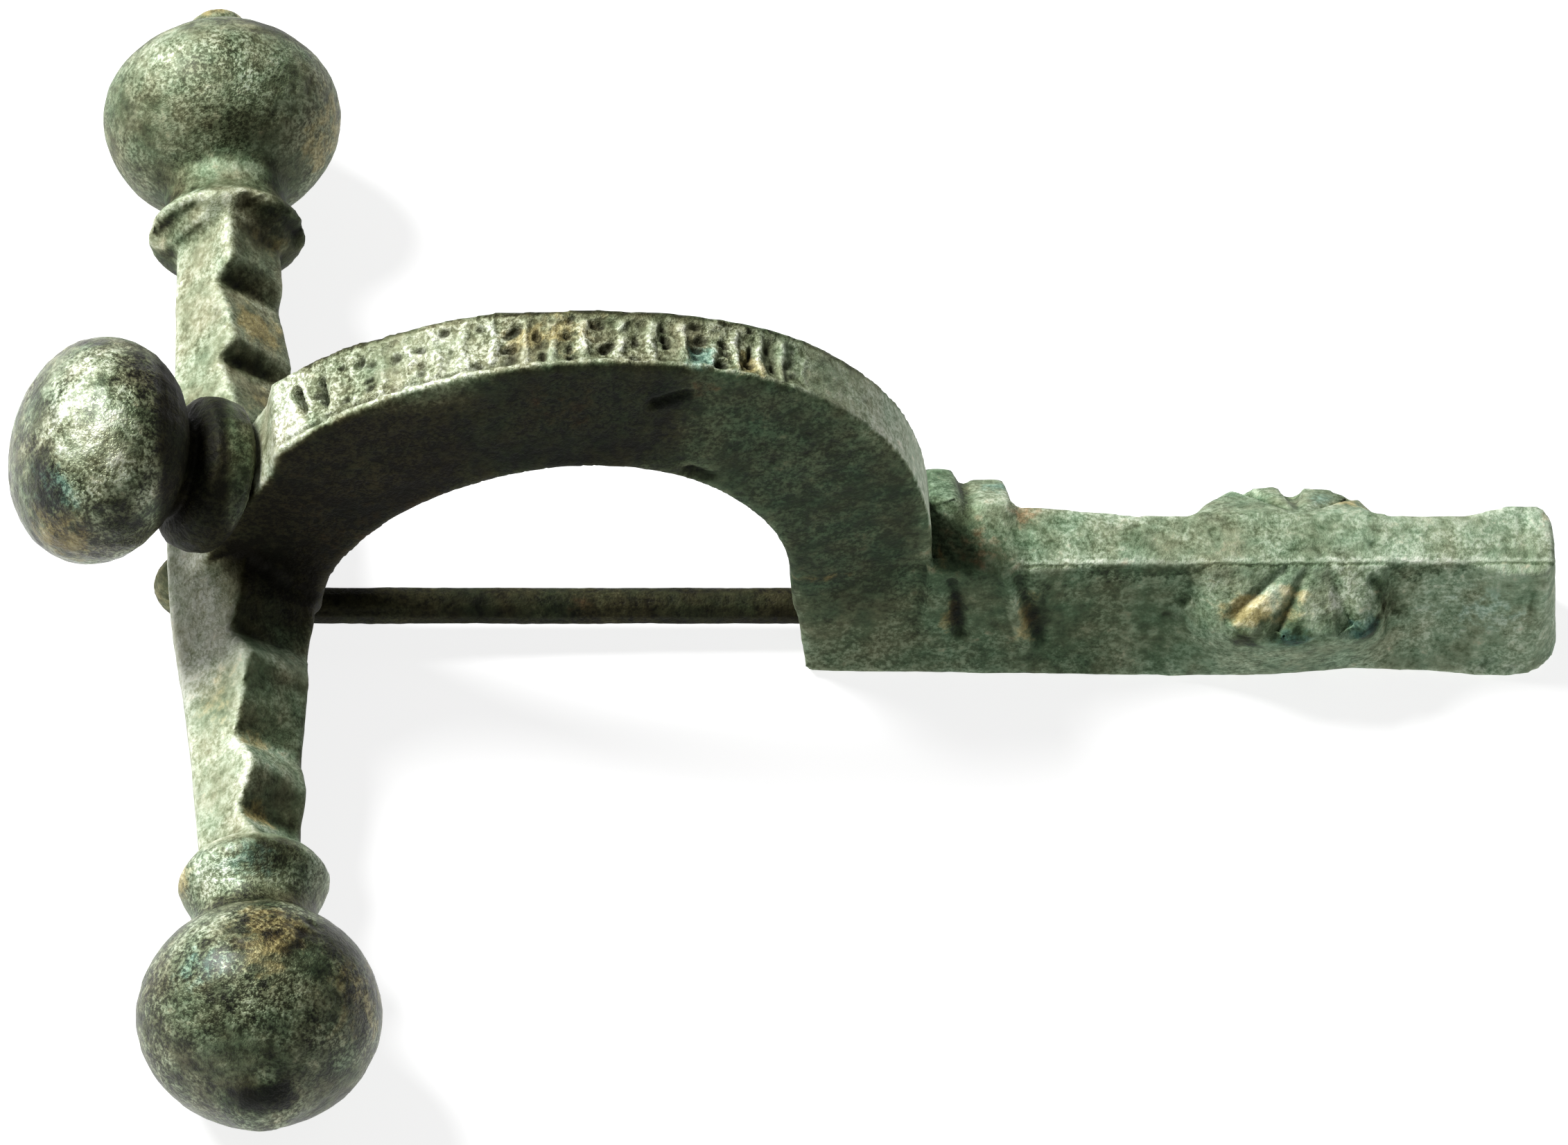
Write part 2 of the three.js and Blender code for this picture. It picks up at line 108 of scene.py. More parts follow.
def shades(*screen: tuple[int, int, int]) -> tuple[Colour, ...]:
    """Linear colours of 0-255 screen colours.

    Args:
        screen: colours as red, green and blue from 0 to 255.

    Returns:
        The linear colours.
    """
    def linear(value: int) -> float:
        v = value / 255.0
        return v / 12.92 if v <= 0.04045 else ((v + 0.055) / 1.055) ** 2.4
    return tuple(tuple(linear(value) for value in colour) for colour in screen)


# ---- shader expressions

class Board:
    """A material's node tree, with one method that adds any node."""

    def __init__(self, name: str) -> None:
        """Starts an empty material.

        Args:
            name: the material's name.
        """
        self.material = bpy.data.materials.new(name)
        self.material.use_nodes = True
        self.tree = self.material.node_tree
        self.tree.nodes.clear()

    def node(self, kind: str, settings: dict[str, Any] | None = None,
             sockets: dict[str | int, Any] | None = None) -> bpy.types.Node:
        """Adds one node.

        Args:
            kind: the node's type without its "ShaderNode" prefix.
            settings: properties that are set first; "stops" fills a colour ramp.
            sockets: a value, or a wrapped socket to link from, for each input.

        Returns:
            The new node.
        """
        made = self.tree.nodes.new("ShaderNode" + kind)
        for key, value in (settings or {}).items():
            if key == "stops":
                ramp = made.color_ramp.elements
                while len(ramp) < len(value):
                    ramp.new(1.0)
                for element, (place, colour) in zip(ramp, value):
                    element.position = place
                    element.color = (*colour, 1.0)
            else:
                setattr(made, key, value)
        for key, value in (sockets or {}).items():
            if isinstance(value, Wire):
                self.tree.links.new(value.socket, made.inputs[key])
            elif isinstance(value, tuple) and made.inputs[key].type == "RGBA":
                made.inputs[key].default_value = (*value, 1.0)
            else:
                made.inputs[key].default_value = value
        return made

    def wire(self, made: bpy.types.Node, output: str | int = 0) -> "Wire":
        """One output of a node, ready for arithmetic."""
        return Wire(self, made.outputs[output])

    def attribute(self, name: str) -> "Wire":
        """A value painted on the mesh's points."""
        return self.wire(self.node("Attribute", {"attribute_name": name}), "Fac")

    def place(self) -> "Wire":
        """The point's own place on the piece, in metres."""
        return self.wire(self.node("TexCoord"), "Object")

    def axes(self) -> tuple["Wire", "Wire", "Wire"]:
        """The point's x, y and z in millimetres, in the brooch's own frame."""
        split = self.node("SeparateXYZ", None, {"Vector": self.place()})
        return tuple(self.wire(split, axis) * (1.0 / MM) - ORIGIN[i]
                     for i, axis in enumerate("XYZ"))

    def noise(self, size: float, detail: float = 2.0, rough: float = 0.5) -> "Wire":
        """Soft solid noise from 0 to 1.

        Args:
            size: length of one lump in millimetres.
            detail: how many finer layers it has.
            rough: how strong the finer layers are.

        Returns:
            The noise.
        """
        return self.wire(self.node("TexNoise", None, {
            "Vector": self.place(), "Scale": 1.0 / (size * MM),
            "Detail": detail, "Roughness": rough}), 0)

    def step(self, value: "Wire", low: float, high: float) -> "Wire":
        """Eased step of `value` from 0 at `low` to 1 at `high`."""
        return self.wire(self.node("MapRange", {"interpolation_type": "SMOOTHSTEP"}, {
            "Value": value, "From Min": low, "From Max": high}))

    def mix(self, share: "Wire | float", first: "Wire | Colour",
            second: "Wire | Colour") -> "Wire":
        """Blends two colours.

        Args:
            share: 0 gives the first colour and 1 the second.
            first: the colour under.
            second: the colour over.

        Returns:
            The blended colour.
        """
        made = self.node("Mix", {"data_type": "RGBA"}, {0: share, 6: first, 7: second})
        return self.wire(made, 2)

    def ramp(self, tone: "Wire", colours: tuple[Colour, ...]) -> "Wire":
        """Reads a tone from 0 to 1 off evenly spaced colours."""
        stops = [(i / (len(colours) - 1), colour) for i, colour in enumerate(colours)]
        return self.wire(self.node("ValToRGB", {"stops": stops}, {"Fac": tone}))

    def finish(self, shader: dict[str, Any]) -> bpy.types.Material:
        """Closes the material with one principled shader.

        Args:
            shader: the shader's sockets.

        Returns:
            The material.
        """
        body = self.wire(self.node("BsdfPrincipled", None, shader))
        self.node("OutputMaterial", None, {"Surface": body})
        return self.material


class Wire:
    """A socket that takes part in arithmetic."""

    def __init__(self, board: Board, socket: bpy.types.NodeSocket) -> None:
        """Wraps one output socket.

        Args:
            board: the tree that the socket is in.
            socket: the socket.
        """
        self.board = board
        self.socket = socket

    def _math(self, operation: str, first: Any, second: Any) -> "Wire":
        """A Math node on two values.

        Args:
            operation: the Math node's operation.
            first: its first value or wire.
            second: its second value or wire.

        Returns:
            The result.
        """
        return self.board.wire(self.board.node(
            "Math", {"operation": operation}, {0: first, 1: second}))

    def __add__(self, other: Any) -> "Wire":
        """self + other."""
        return self._math("ADD", self, other)

    def __radd__(self, other: Any) -> "Wire":
        """other + self."""
        return self._math("ADD", other, self)

    def __sub__(self, other: Any) -> "Wire":
        """self - other."""
        return self._math("SUBTRACT", self, other)

    def __rsub__(self, other: Any) -> "Wire":
        """other - self."""
        return self._math("SUBTRACT", other, self)

    def __mul__(self, other: Any) -> "Wire":
        """self * other."""
        return self._math("MULTIPLY", self, other)

    def __rmul__(self, other: Any) -> "Wire":
        """other * self."""
        return self._math("MULTIPLY", other, self)

    def size(self) -> "Wire":
        """Its size without its sign."""
        return self._math("ABSOLUTE", self, 0.0)

    def clamp(self) -> "Wire":
        """The value kept between 0 and 1.

        Returns:
            The clamped value.
        """
        made = self._math("ADD", self, 0.0)
        made.socket.node.use_clamp = True
        return made


# ---- the skin

class Skin:
    """A fine even mesh over a solid, held as arrays so that it can be carved."""

    def __init__(self, node: str, voxel: float) -> None:
        """Covers one node of the frame with even small faces.

        Args:
            node: the frame's node to cover.
            voxel: side of a face in millimetres.
        """
        mesh = frame["nodes"][node].data.copy()
        mesh.transform(Matrix.Translation(-ORIGIN) @ Matrix.Scale(1.0 / MM, 4))
        holder = bpy.data.objects.new("holder", mesh)
        bpy.context.scene.collection.objects.link(holder)
        cover = holder.modifiers.new("cover", "REMESH")
        cover.mode = "VOXEL"
        cover.voxel_size = voxel
        graph = bpy.context.evaluated_depsgraph_get()
        even = bpy.data.meshes.new_from_object(holder.evaluated_get(graph))
        bpy.data.objects.remove(holder)
        bpy.data.meshes.remove(mesh)
        self._read(even)
        self.paint: dict[str, np.ndarray] = {}

    def _read(self, mesh: bpy.types.Mesh) -> None:
        """Takes the points and triangles of a mesh, and removes the mesh.

        Args:
            mesh: the mesh, which is used up.
        """
        flat = np.empty(len(mesh.vertices) * 3)
        mesh.vertices.foreach_get("co", flat)
        self.points = flat.reshape(-1, 3)
        mesh.calc_loop_triangles()
        corners = np.empty(len(mesh.loop_triangles) * 3, int)
        mesh.loop_triangles.foreach_get("vertices", corners)
        self.faces = corners.reshape(-1, 3)
        bpy.data.meshes.remove(mesh)
        self._find_edges()

    def refine(self, chosen: np.ndarray) -> None:
        """Halves the edges where every end is chosen.

        Args:
            chosen: a mask of the points.
        """
        work = bmesh.new()
        corners = [work.verts.new(point) for point in self.points.tolist()]
        for face in self.faces.tolist():
            work.faces.new([corners[i] for i in face])
        work.verts.index_update()
        halved = [edge for edge in work.edges if all(chosen[v.index] for v in edge.verts)]
        bmesh.ops.subdivide_edges(work, edges=halved, cuts=1, use_grid_fill=True)
        mesh = bpy.data.meshes.new("refined")
        work.to_mesh(mesh)
        work.free()
        self._read(mesh)

    def _find_edges(self) -> None:
        """Lists each edge once and counts the edges at each point."""
        sides = np.concatenate([self.faces[:, [i, (i + 1) % 3]] for i in range(3)])
        self.edges = np.unique(np.sort(sides, axis=1), axis=0)
        self.degree = np.bincount(self.edges.ravel(), minlength=len(self.points))

    def blurred(self, values: np.ndarray, rounds: int = 1) -> np.ndarray:
        """Averages values over neighbouring points.

        Args:
            values: one value or row for each point.
            rounds: how many times.

        Returns:
            The blurred values.
        """
        start, end = self.edges.T
        out = values.reshape(len(values), -1).astype(float)
        for _ in range(rounds):
            near = np.empty_like(out)
            for i in range(out.shape[1]):
                near[:, i] = np.bincount(start, out[end, i], len(out))
                near[:, i] += np.bincount(end, out[start, i], len(out))
            out = 0.5 * (out + near / self.degree[:, None])
        return out.reshape(values.shape)

    def fair(self, rounds: int) -> None:
        """Takes steps off the surface without shrinking it.

        Args:
            rounds: how many times.
        """
        for _ in range(rounds):
            for share in (1.0, -1.06):
                self.points += share * (self.blurred(self.points) - self.points)

    def melt(self, share: np.ndarray, rounds: int) -> None:
        """Softens the surface where `share` is above 0, over so many rounds."""
        self.points += share[:, None] * (self.blurred(self.points, rounds) - self.points)

    def normals(self) -> np.ndarray:
        """Unit normals of the points.

        Returns:
            One row for each point.
        """
        a, b, c = (self.points[self.faces[:, i]] for i in range(3))
        face = np.cross(b - a, c - a)
        out = np.empty_like(self.points)
        for axis in range(3):
            weights = np.repeat(face[:, axis], 3)
            out[:, axis] = np.bincount(self.faces.ravel(), weights, len(out))
        return out / np.maximum(np.linalg.norm(out, axis=1, keepdims=True), 1e-12)

    def raise_by(self, height: np.ndarray) -> None:
        """Moves each point out along its normal by a height in millimetres."""
        self.points += self.normals() * height[:, None]

    def lay(self, key: str, values: np.ndarray) -> None:
        """Paints values on the points, kept between 0 and 1."""
        self.paint[key] = np.clip(values, 0.0, 1.0)

    def hollowness(self, rounds: int) -> np.ndarray:
        """How far each point lies under the blurred surface: positive in a hollow."""
        gap = self.blurred(self.points, rounds) - self.points
        return np.einsum("ij,ij->i", gap, self.normals())

    def piece(self, name: str) -> bpy.types.Object:
        """Makes the finished object, in metres in the frame.

        Args:
            name: the piece's name.

        Returns:
            The object, smooth shaded and with its paint as point values.
        """
        mesh = bpy.data.meshes.new(name)
        placed = (self.points + np.array(ORIGIN)) * MM
        mesh.from_pydata(placed.tolist(), [], self.faces.tolist())
        mesh.polygons.foreach_set("use_smooth", [True] * len(mesh.polygons))
        for key, values in self.paint.items():
            layer = mesh.attributes.new(key, "FLOAT", "POINT")
            layer.data.foreach_set("value", values.astype(np.float32))
        mesh.update()
        made = bpy.data.objects.new(name, mesh)
        bpy.context.scene.collection.objects.link(made)
        return made


# ---- corrosion, and painted light and shade

class StainAndLight(Enum):
    """What burial left on the bronze, and painted light and shade: PALE and DARK also paint
    highlights and shade.
    """

    PALE = "pale"
    DARK = "dark"
    OCHRE = "ochre"
    TEAL = "teal"
    RUST = "rust"
    ROUGH = "rough"


PALE, DARK, OCHRE, TEAL, RUST, ROUGH = StainAndLight


@dataclass(frozen=True)
class Patch:
    """One soft-edged stain, painted highlight or painted shade, a stretched ball."""

    stain_and_light: StainAndLight
    centre: Point
    reach: Point
    strength: float = 1.0

    def cover(self, points: np.ndarray, ragged: np.ndarray) -> np.ndarray:
        """How strongly it covers each point.

        Args:
            points: the points.
            ragged: noise that breaks up its edge.

        Returns:
            0 outside, up to `strength` inside.
        """
        away = np.linalg.norm((points - self.centre) / self.reach, axis=1)
        return self.strength * smoothstep(1.15, 0.3, away + 0.3 * ragged)


@dataclass(frozen=True)
class Zone:
    """A stretch of the surface with its own depth and tint of colour, and its gloss; its depth
    often paints light and shade, and a facing keeps it to faces turned one way.
    """

    low: Point
    high: Point
    tone: float
    green: float = 0.5
    facing: Point = (0.0, 0.0, 0.0)
    edge: float = 1.0
    gloss: float = 0.0

    def cover(self, points: np.ndarray, normals: np.ndarray) -> np.ndarray:
        """How far each point belongs to the zone.

        Args:
            points: the points.
            normals: their normals.

        Returns:
            0 outside the zone, 1 inside it.
        """
        share = np.ones(len(points))
        for axis in range(3):
            place = points[:, axis]
            share *= smoothstep(self.low[axis] - self.edge, self.low[axis] + self.edge, place)
            share *= smoothstep(self.high[axis] + self.edge, self.high[axis] - self.edge, place)
        way = np.array(self.facing)
        if way.any():
            share *= smoothstep(0.2, 0.6, normals @ (way / np.linalg.norm(way)))
        return share


@dataclass(frozen=True)
class Groove:
    """A cut that tapers from its start to its end; negative depths raise a ridge."""

    start: Point
    end: Point
    half: Pair
    depth: Pair
    sharp: float = 1.0

    def sink(self, points: np.ndarray) -> np.ndarray:
        """Depth of the cut at each point, in millimetres.

        Args:
            points: the points.

        Returns:
            The depths, 0 outside the cut.
        """
        start, run = np.array(self.start), np.subtract(self.end, self.start)
        t = np.clip((points - start) @ run / (run @ run), 0.0, 1.0)
        aside = np.linalg.norm(points - start - t[:, None] * run, axis=1)
        half = self.half[0] + t * (self.half[1] - self.half[0])
        depth = self.depth[0] + t * (self.depth[1] - self.depth[0])
        return depth * np.clip(1.0 - aside / half, 0.0, 1.0) ** self.sharp


@dataclass(frozen=True)
class CorrosionAndLight:
    """Lumps, pits and grain eaten into a surface, with its stains and the light and shade painted
    into its colour.
    """

    zones: tuple[Zone, ...] = ()
    patches: tuple[Patch, ...] = ()
    tone: float = 0.4
    green: float = 0.5
    gloss: float = 0.0
    grit: float = 0.15
    lump: float = 0.05
    pit: float = 0.05
    grain: float = 0.02
    rough_pit: float = 0.1  # what a rough patch adds to pits and grain
    rough_grain: float = 0.05
    depth: float = 0.35  # how far a patch shifts the tone
    basin: tuple[int, float, float] = (30, 0.25, 0.10)  # rounds, full depth, darkening
    hollow: tuple[int, float, float] = (3, 0.05, 0.12)
    seed: float = 0.0

    def _patched(self, points: np.ndarray, kind: StainAndLight) -> np.ndarray:
        """How strongly one kind of stain covers each point.

        Args:
            points: the points.
            kind: the stain.

        Returns:
            0 where there is none of it, up to 1.
        """
        ragged = cloud(points, 1.6, self.seed + 5) + cloud(points, 0.6, self.seed + 6)
        total = np.zeros(len(points))
        for patch in self.patches:
            if patch.stain_and_light is kind:
                total = np.maximum(total, patch.cover(points, ragged))
        return total

    def eat(self, skin: Skin) -> None:
        """Roughens the skin, most where it is stained rough.

        Args:
            skin: the skin to work on.
        """
        p = skin.points
        rough = self._patched(p, ROUGH)
        lumps = cloud(p, 3.2, self.seed) + 0.5 * cloud(p, 1.4, self.seed + 1)
        pits = smoothstep(0.2, 0.55, cloud(p, 0.75, self.seed + 3))
        pits *= smoothstep(0.0, 0.5, cloud(p, 4.0, self.seed + 2)) + rough
        grain = cloud(p, 0.5, self.seed + 4)
        skin.raise_by(self.lump * lumps - (self.pit + self.rough_pit * rough) * pits
                      + (self.grain + self.rough_grain * rough) * grain)
        skin.lay("pit", pits * (0.35 + rough))

    def stain_and_light(self, skin: Skin) -> None:
        """Paints the depth and tint of colour, the stains and the hollows, with the painted light
        and shade that the zones and patches carry.

        Args:
            skin: the skin to work on.
        """
        p, normals = skin.points, skin.normals()
        tone = np.full(len(p), self.tone)
        green = np.full(len(p), self.green)
        gloss = np.full(len(p), self.gloss)
        for zone in self.zones:
            share = zone.cover(p, normals)
            tone += share * (zone.tone - tone)
            green += share * (zone.green - green)
            gloss += share * (zone.gloss - gloss)
        tone += self.depth * (self._patched(p, PALE) - self._patched(p, DARK))
        # darker in hollows and lighter on ridges, at a broad and a fine scale
        hollow_tone = sum(darkening * np.clip(skin.hollowness(rounds) / full, -1.0, 1.0)
                   for rounds, full, darkening in (self.basin, self.hollow))
        tone -= np.where(hollow_tone > 0.0, hollow_tone, 0.5 * hollow_tone)
        skin.lay("tone", tone)
        skin.lay("green", green)
        skin.lay("gloss", gloss)
        for kind in (OCHRE, TEAL, RUST):
            skin.paint[kind.value] = self._patched(p, kind)
        skin.lay("grit", self.grit + 0.8 * gloss + self._patched(p, ROUGH))


@dataclass(frozen=True)
class Patina:
    """Colours and gloss of one weathered bronze, from its deepest tone to its palest."""

    name: str
    olive: tuple[Colour, ...] = shades(
        (20, 18, 10), (54, 52, 32), (96, 95, 70), (144, 145, 117),
        (187, 189, 168), (223, 225, 212))
    leaf: tuple[Colour, ...] = shades(
        (11, 20, 12), (38, 54, 35), (76, 98, 71), (122, 144, 117),
        (172, 189, 165), (214, 222, 204))
    earth: tuple[Colour, ...] = shades(
        (28, 22, 12), (72, 62, 35), (116, 104, 62), (160, 148, 100),
        (204, 194, 152), (234, 227, 200))
    verdigris: tuple[Colour, ...] = shades(
        (10, 22, 20), (33, 58, 51), (68, 102, 90), (116, 149, 133),
        (165, 191, 177), (213, 226, 214))
    iron: tuple[Colour, ...] = shades(
        (18, 12, 7), (51, 37, 22), (88, 67, 42), (127, 102, 70),
        (170, 145, 110), (212, 193, 160))
    roughness: float = 0.64
    polish: float = 0.24  # how much a glossy place takes off
    specular: float = 0.1
    coat: float = 0.3  # where the skin is glossy
    metallic: float = 0.25
    bump: float = 0.6
    bump_height: float = 0.12  # millimetres
    stain_cover: float = 0.85
    pit_cover: float = 0.75
    # the scribed line has painted shade in its cut and a painted highlight on its lip
    scribed: bool = False  # a fine line along the foot's near edge
    tone: float | None = None  # one tone, where the mesh has no paint

    def material(self) -> bpy.types.Material:
        """Builds the material.

        Returns:
            A material that reads the tone, tint, stains and pits painted on the mesh.
        """
        board = Board(self.name)
        broad, blotch = board.noise(3.5, 4.0, 0.6), board.noise(1.3, 3.0, 0.6)
        fine, grain = board.noise(0.6, 3.0, 0.65), board.noise(0.22, 2.0, 0.7)
        crumb = board.step(grain, 0.36, 0.64)
        painted = self.tone is None
        if painted:
            tone, green = board.attribute("tone"), board.attribute("green")
            gloss, grit = board.attribute("gloss"), board.attribute("grit")
        else:
            tone, green = broad * 0.0 + self.tone, broad * 0.0 + 0.4
            gloss, grit = broad * 0.0, broad * 0.0 + 0.3
        coarse = ((broad - 0.5) * 0.4 + (blotch - 0.5) * (0.25 + 0.9 * gloss)
                  + (fine - 0.5) * 0.7)
        patchy = board.step(broad, 0.35, 0.6) * 1.2 + 0.35
        strength = 0.55 + tone * 0.75
        gritty = (crumb - 0.5) * (0.09 + 0.26 * grit) * patchy
        tone = tone + strength * (coarse + gritty)
        height = fine * 0.7 + crumb * (0.12 + 0.5 * grit)
        if self.scribed:
            # painted shade in the scribed cut and a painted highlight on its lip
            dark, light = self._scribe(board, fine)
            tone, height = tone + light * 0.12 - dark * 0.16, height - dark * 0.35
        tone = tone.clamp()
        tint = (green + (board.noise(2.2, 3.0, 0.6) - 0.5) * 1.6).clamp()
        colour = board.mix(tint, board.ramp(tone, self.olive), board.ramp(tone, self.leaf))
        if painted:
            ragged = (blotch - 0.5) * 1.2 + (fine - 0.5) * 1.4
            stains = ((OCHRE, self.earth), (TEAL, self.verdigris), (RUST, self.iron))
            for kind, colours in stains:
                share = board.step(board.attribute(kind.value) + ragged, 0.15, 0.85)
                colour = board.mix(share * self.stain_cover, colour, board.ramp(tone, colours))
            # pits are darkened: corrosion in them, and, on the strip, painted shade in the slots
            # and the line inside the rim
            colour = board.mix(board.attribute("pit") * self.pit_cover, colour, self.olive[0])
        bump = board.node("Bump", None, {
            "Strength": self.bump, "Distance": self.bump_height * MM, "Height": height})
        rough = (self.roughness + (fine - 0.5) * 0.4 - gloss * self.polish).clamp()
        return board.finish({
            "Base Color": colour, "Roughness": rough, "Metallic": self.metallic,
            "Specular IOR Level": self.specular, "Coat Weight": gloss * self.coat,
            "Coat Roughness": 0.36, "Normal": board.wire(bump)})

    def _scribe(self, board: Board, fine: Wire) -> tuple[Wire, Wire]:
        """The scribed line along the foot: painted shade in its cut and a painted highlight on its
        lip.

        Args:
            board: the material's tree.
            fine: fine noise from 0 to 1.

        Returns:
            How strong the cut's painted shade and the lip's painted highlight are.
        """
        x, y, z = board.axes()
        drift = x * 0.008 - y - 2.06 + (fine - 0.5) * 0.5
        within = (board.step(x, 39.4, 41.0) * board.step(x, 68.6, 68.2)
                  * board.step(z, -0.2, 0.4))
        dark = board.step(drift.size(), 0.13, 0.02) * within
        light = board.step((drift + 0.24).size(), 0.2, 0.02) * within
        return dark, light


# ---- where each stain, painted highlight and painted shade lies

def patches(*rows: tuple[StainAndLight, Point, Point, float]) -> tuple[Patch, ...]:
    """One patch for each row of stain, centre, reach and strength."""
    return tuple(Patch(*row) for row in rows)


BODY_ZONES: tuple[Zone, ...] = (
    # crossbar: painted shade on the belly and on the near arm's rear slope, painted light on the
    # far arm's rear slope and on the notch faces
    Zone((-6, 3, -7), (6, 23, 4), 0.26, 0.4),
    Zone((-6, -23, -7), (6, -3, 4), 0.2, 0.3),
    Zone((-1, 4, 0), (6, 20, 6), 0.52, 0.25, (0.6, 0.0, 0.8)),
    Zone((-1, 4, 0), (6, 19, 6), 0.42, 0.3, (0.3, -0.85, 0.4)),
    Zone((-1, -20, 0), (6, -5, 6), 0.32, 0.4, (0.6, -0.1, 0.8)),
    Zone((-1, -20, -2), (6, -6, 6), 0.5, 0.7, (0.2, 0.8, 0.5)),
    # bow: sides painted dark, deepest near the head, partly dark patina and partly painted shade,
    # turning green toward the foot
    Zone((-7, -5, -8), (12, 5, 17), 0.03, 0.05, edge=2.0),
    Zone((11, -6, 2), (23, 6, 23), 0.07, 0.45, edge=2.5),
    Zone((23, -6, -1), (36, 6, 21), 0.22, 0.75, edge=2.5),
    # painted light on faces turned to the lamp: the crossbar's front slope runs pale on past the
    # bow, palest where the head knob's shadow falls, and the head's front face
    Zone((-6, 1, -2), (6, 21, 6), 0.62, 0.3, (-0.7, 0.0, 0.7)),
    Zone((-6, -21, -2), (6, -5, 6), 0.66, 0.4, (-0.7, 0.0, 0.7)),
    Zone((-6, -9, -3), (0, 2, 3.4), 0.85, 0.15, (-0.9, 0.0, 0.4), 1.6),
    Zone((-4, -2.6, 9), (2.6, 2.6, 15), 0.64, 0.3, (-1.0, 0.0, 0.2), 0.4),
    # collars and knobs
    Zone((-9, 23.5, -9), (9, 40, 9), 0.41, 0.42, gloss=0.3, edge=0.7),
    Zone((-9, -40, -9), (9, -22.5, 9), 0.3, 0.42, gloss=0.9, edge=0.7),
    Zone((-9, -22.8, -9), (9, -19.7, 9), 0.46, 0.5, edge=0.4, gloss=0.6),
    # foot: paler toward the tip, partly as painted light on its shaded near side, and its top
    # faces, turned to the lamp, painted lighter
    Zone((35, -7, -8), (46, 7, 4), 0.39, 0.78, edge=1.5),
    Zone((46, -7, -8), (60, 7, 4), 0.5, 0.78, edge=2.0),
    Zone((60, -7, -8), (72, 7, 4), 0.58, 0.8, edge=2.0),
    Zone((38, -7, 0.5), (56, 7, 5), 0.54, 0.65, (0.0, 0.25, 1.0)),
    Zone((56, -7, 0.5), (72, 7, 5), 0.62, 0.68, (0.0, 0.25, 1.0)),
)
# the near knob: rough crown; painted light on its left, with a teal patch as a painted bluish
# sheen; painted shade on its right and in the groove above its button; and its collar
NEAR_KNOB = patches(
    (ROUGH, (0.6, -26.5, 5.5), (3.2, 3.4, 3.2), 1.0),
    (OCHRE, (0.2, -27.2, 5.6), (2.4, 3.2, 2.6), 0.7),
    (DARK, (-0.9, -26.2, 5.8), (0.5, 0.4, 0.8), 1.0),
    (DARK, (0.3, -27.4, 6.0), (0.6, 0.4, 0.8), 1.0),
    (DARK, (1.1, -28.3, 5.9), (0.6, 0.5, 0.8), 1.0),
    (OCHRE, (4.0, -29.0, 2.5), (3.5, 3.0, 3.5), 0.5),
    (DARK, (-0.4, -34.1, 1.3), (2.8, 0.8, 1.2), 1.0),
    (TEAL, (-2.4, -28.6, 4.4), (2.4, 1.6, 2.2), 0.6),
    (PALE, (-3.0, -26.0, 4.6), (2.2, 2.0, 2.0), 0.6),
    (DARK, (3.4, -27.5, 4.2), (2.2, 2.6, 2.4), 0.6),
    (TEAL, (-0.4, -20.9, 3.4), (2.4, 1.5, 2.0), 0.35),
    (DARK, (0.6, -20.6, 3.4), (2.2, 1.4, 1.8), 0.8),
    (OCHRE, (-3.8, -20.6, 0.8), (1.3, 1.4, 1.8), 0.6),
    (PALE, (-2.6, -21.4, 2.6), (2.0, 1.6, 1.6), 0.6),
)
# the far knob, painted light on its upper left and painted shade on its right, and its collar with
# painted shade in two hollows under petals painted pale as lit
FAR_KNOB = patches(
    (ROUGH, (1.0, 27.0, 6.0), (4.0, 3.0, 3.0), 0.35),
    (OCHRE, (5.2, 26.5, 1.5), (2.6, 3.5, 3.0), 0.5),
    (PALE, (-3.0, 29.0, 4.6), (2.4, 2.4, 2.4), 0.5),
    (DARK, (3.0, 31.0, 4.0), (3.0, 2.4, 2.6), 0.6),
    (DARK, (0.5, 24.6, 4.4), (2.6, 1.2, 2.0), 0.6),
    (PALE, (0.0, 22.4, 3.6), (3.8, 1.3, 2.6), 0.7),
    (PALE, (-2.8, 20.9, 2.8), (1.6, 0.8, 1.6), 0.4),
    (OCHRE, (2.4, 19.2, 1.6), (1.8, 0.9, 2.0), 0.5),
    (DARK, (-3.2, 20.0, 1.6), (1.8, 1.2, 2.2), 0.6),
    (DARK, (2.8, 20.0, 1.9), (2.2, 1.2, 2.4), 0.5),
    (OCHRE, (0.0, 34.4, 0.5), (1.6, 0.8, 1.8), 0.7),
)
# the valleys of the crossbar: ochre stains, painted shade in the far arm's valleys and painted
# light on the near arm's notch faces
CROSSBAR = patches(
    (OCHRE, (1.5, 8.6, 2.0), (2.5, 1.8, 2.0), 0.35),
    (OCHRE, (1.5, 13.5, 2.0), (2.5, 1.8, 2.0), 0.8),
    (DARK, (1.0, 5.6, 2.2), (3.0, 0.8, 2.0), 0.5),
    (DARK, (1.2, 11.0, 2.0), (2.6, 0.7, 2.0), 0.5),
    (DARK, (1.2, 16.5, 2.0), (2.6, 0.8, 2.0), 0.6),
    (OCHRE, (0.4, -12.9, 2.2), (1.4, 1.0, 1.4), 0.6),
    (PALE, (1.2, -12.9, 1.8), (2.2, 0.7, 1.8), 0.6),
    (OCHRE, (0.4, -17.4, 2.2), (1.4, 1.0, 1.4), 0.6),
    (PALE, (1.2, -18.4, 1.8), (2.2, 0.7, 1.8), 0.6),
    (OCHRE, (-2.0, -10.0, 2.6), (1.6, 3.0, 1.8), 0.5),
)
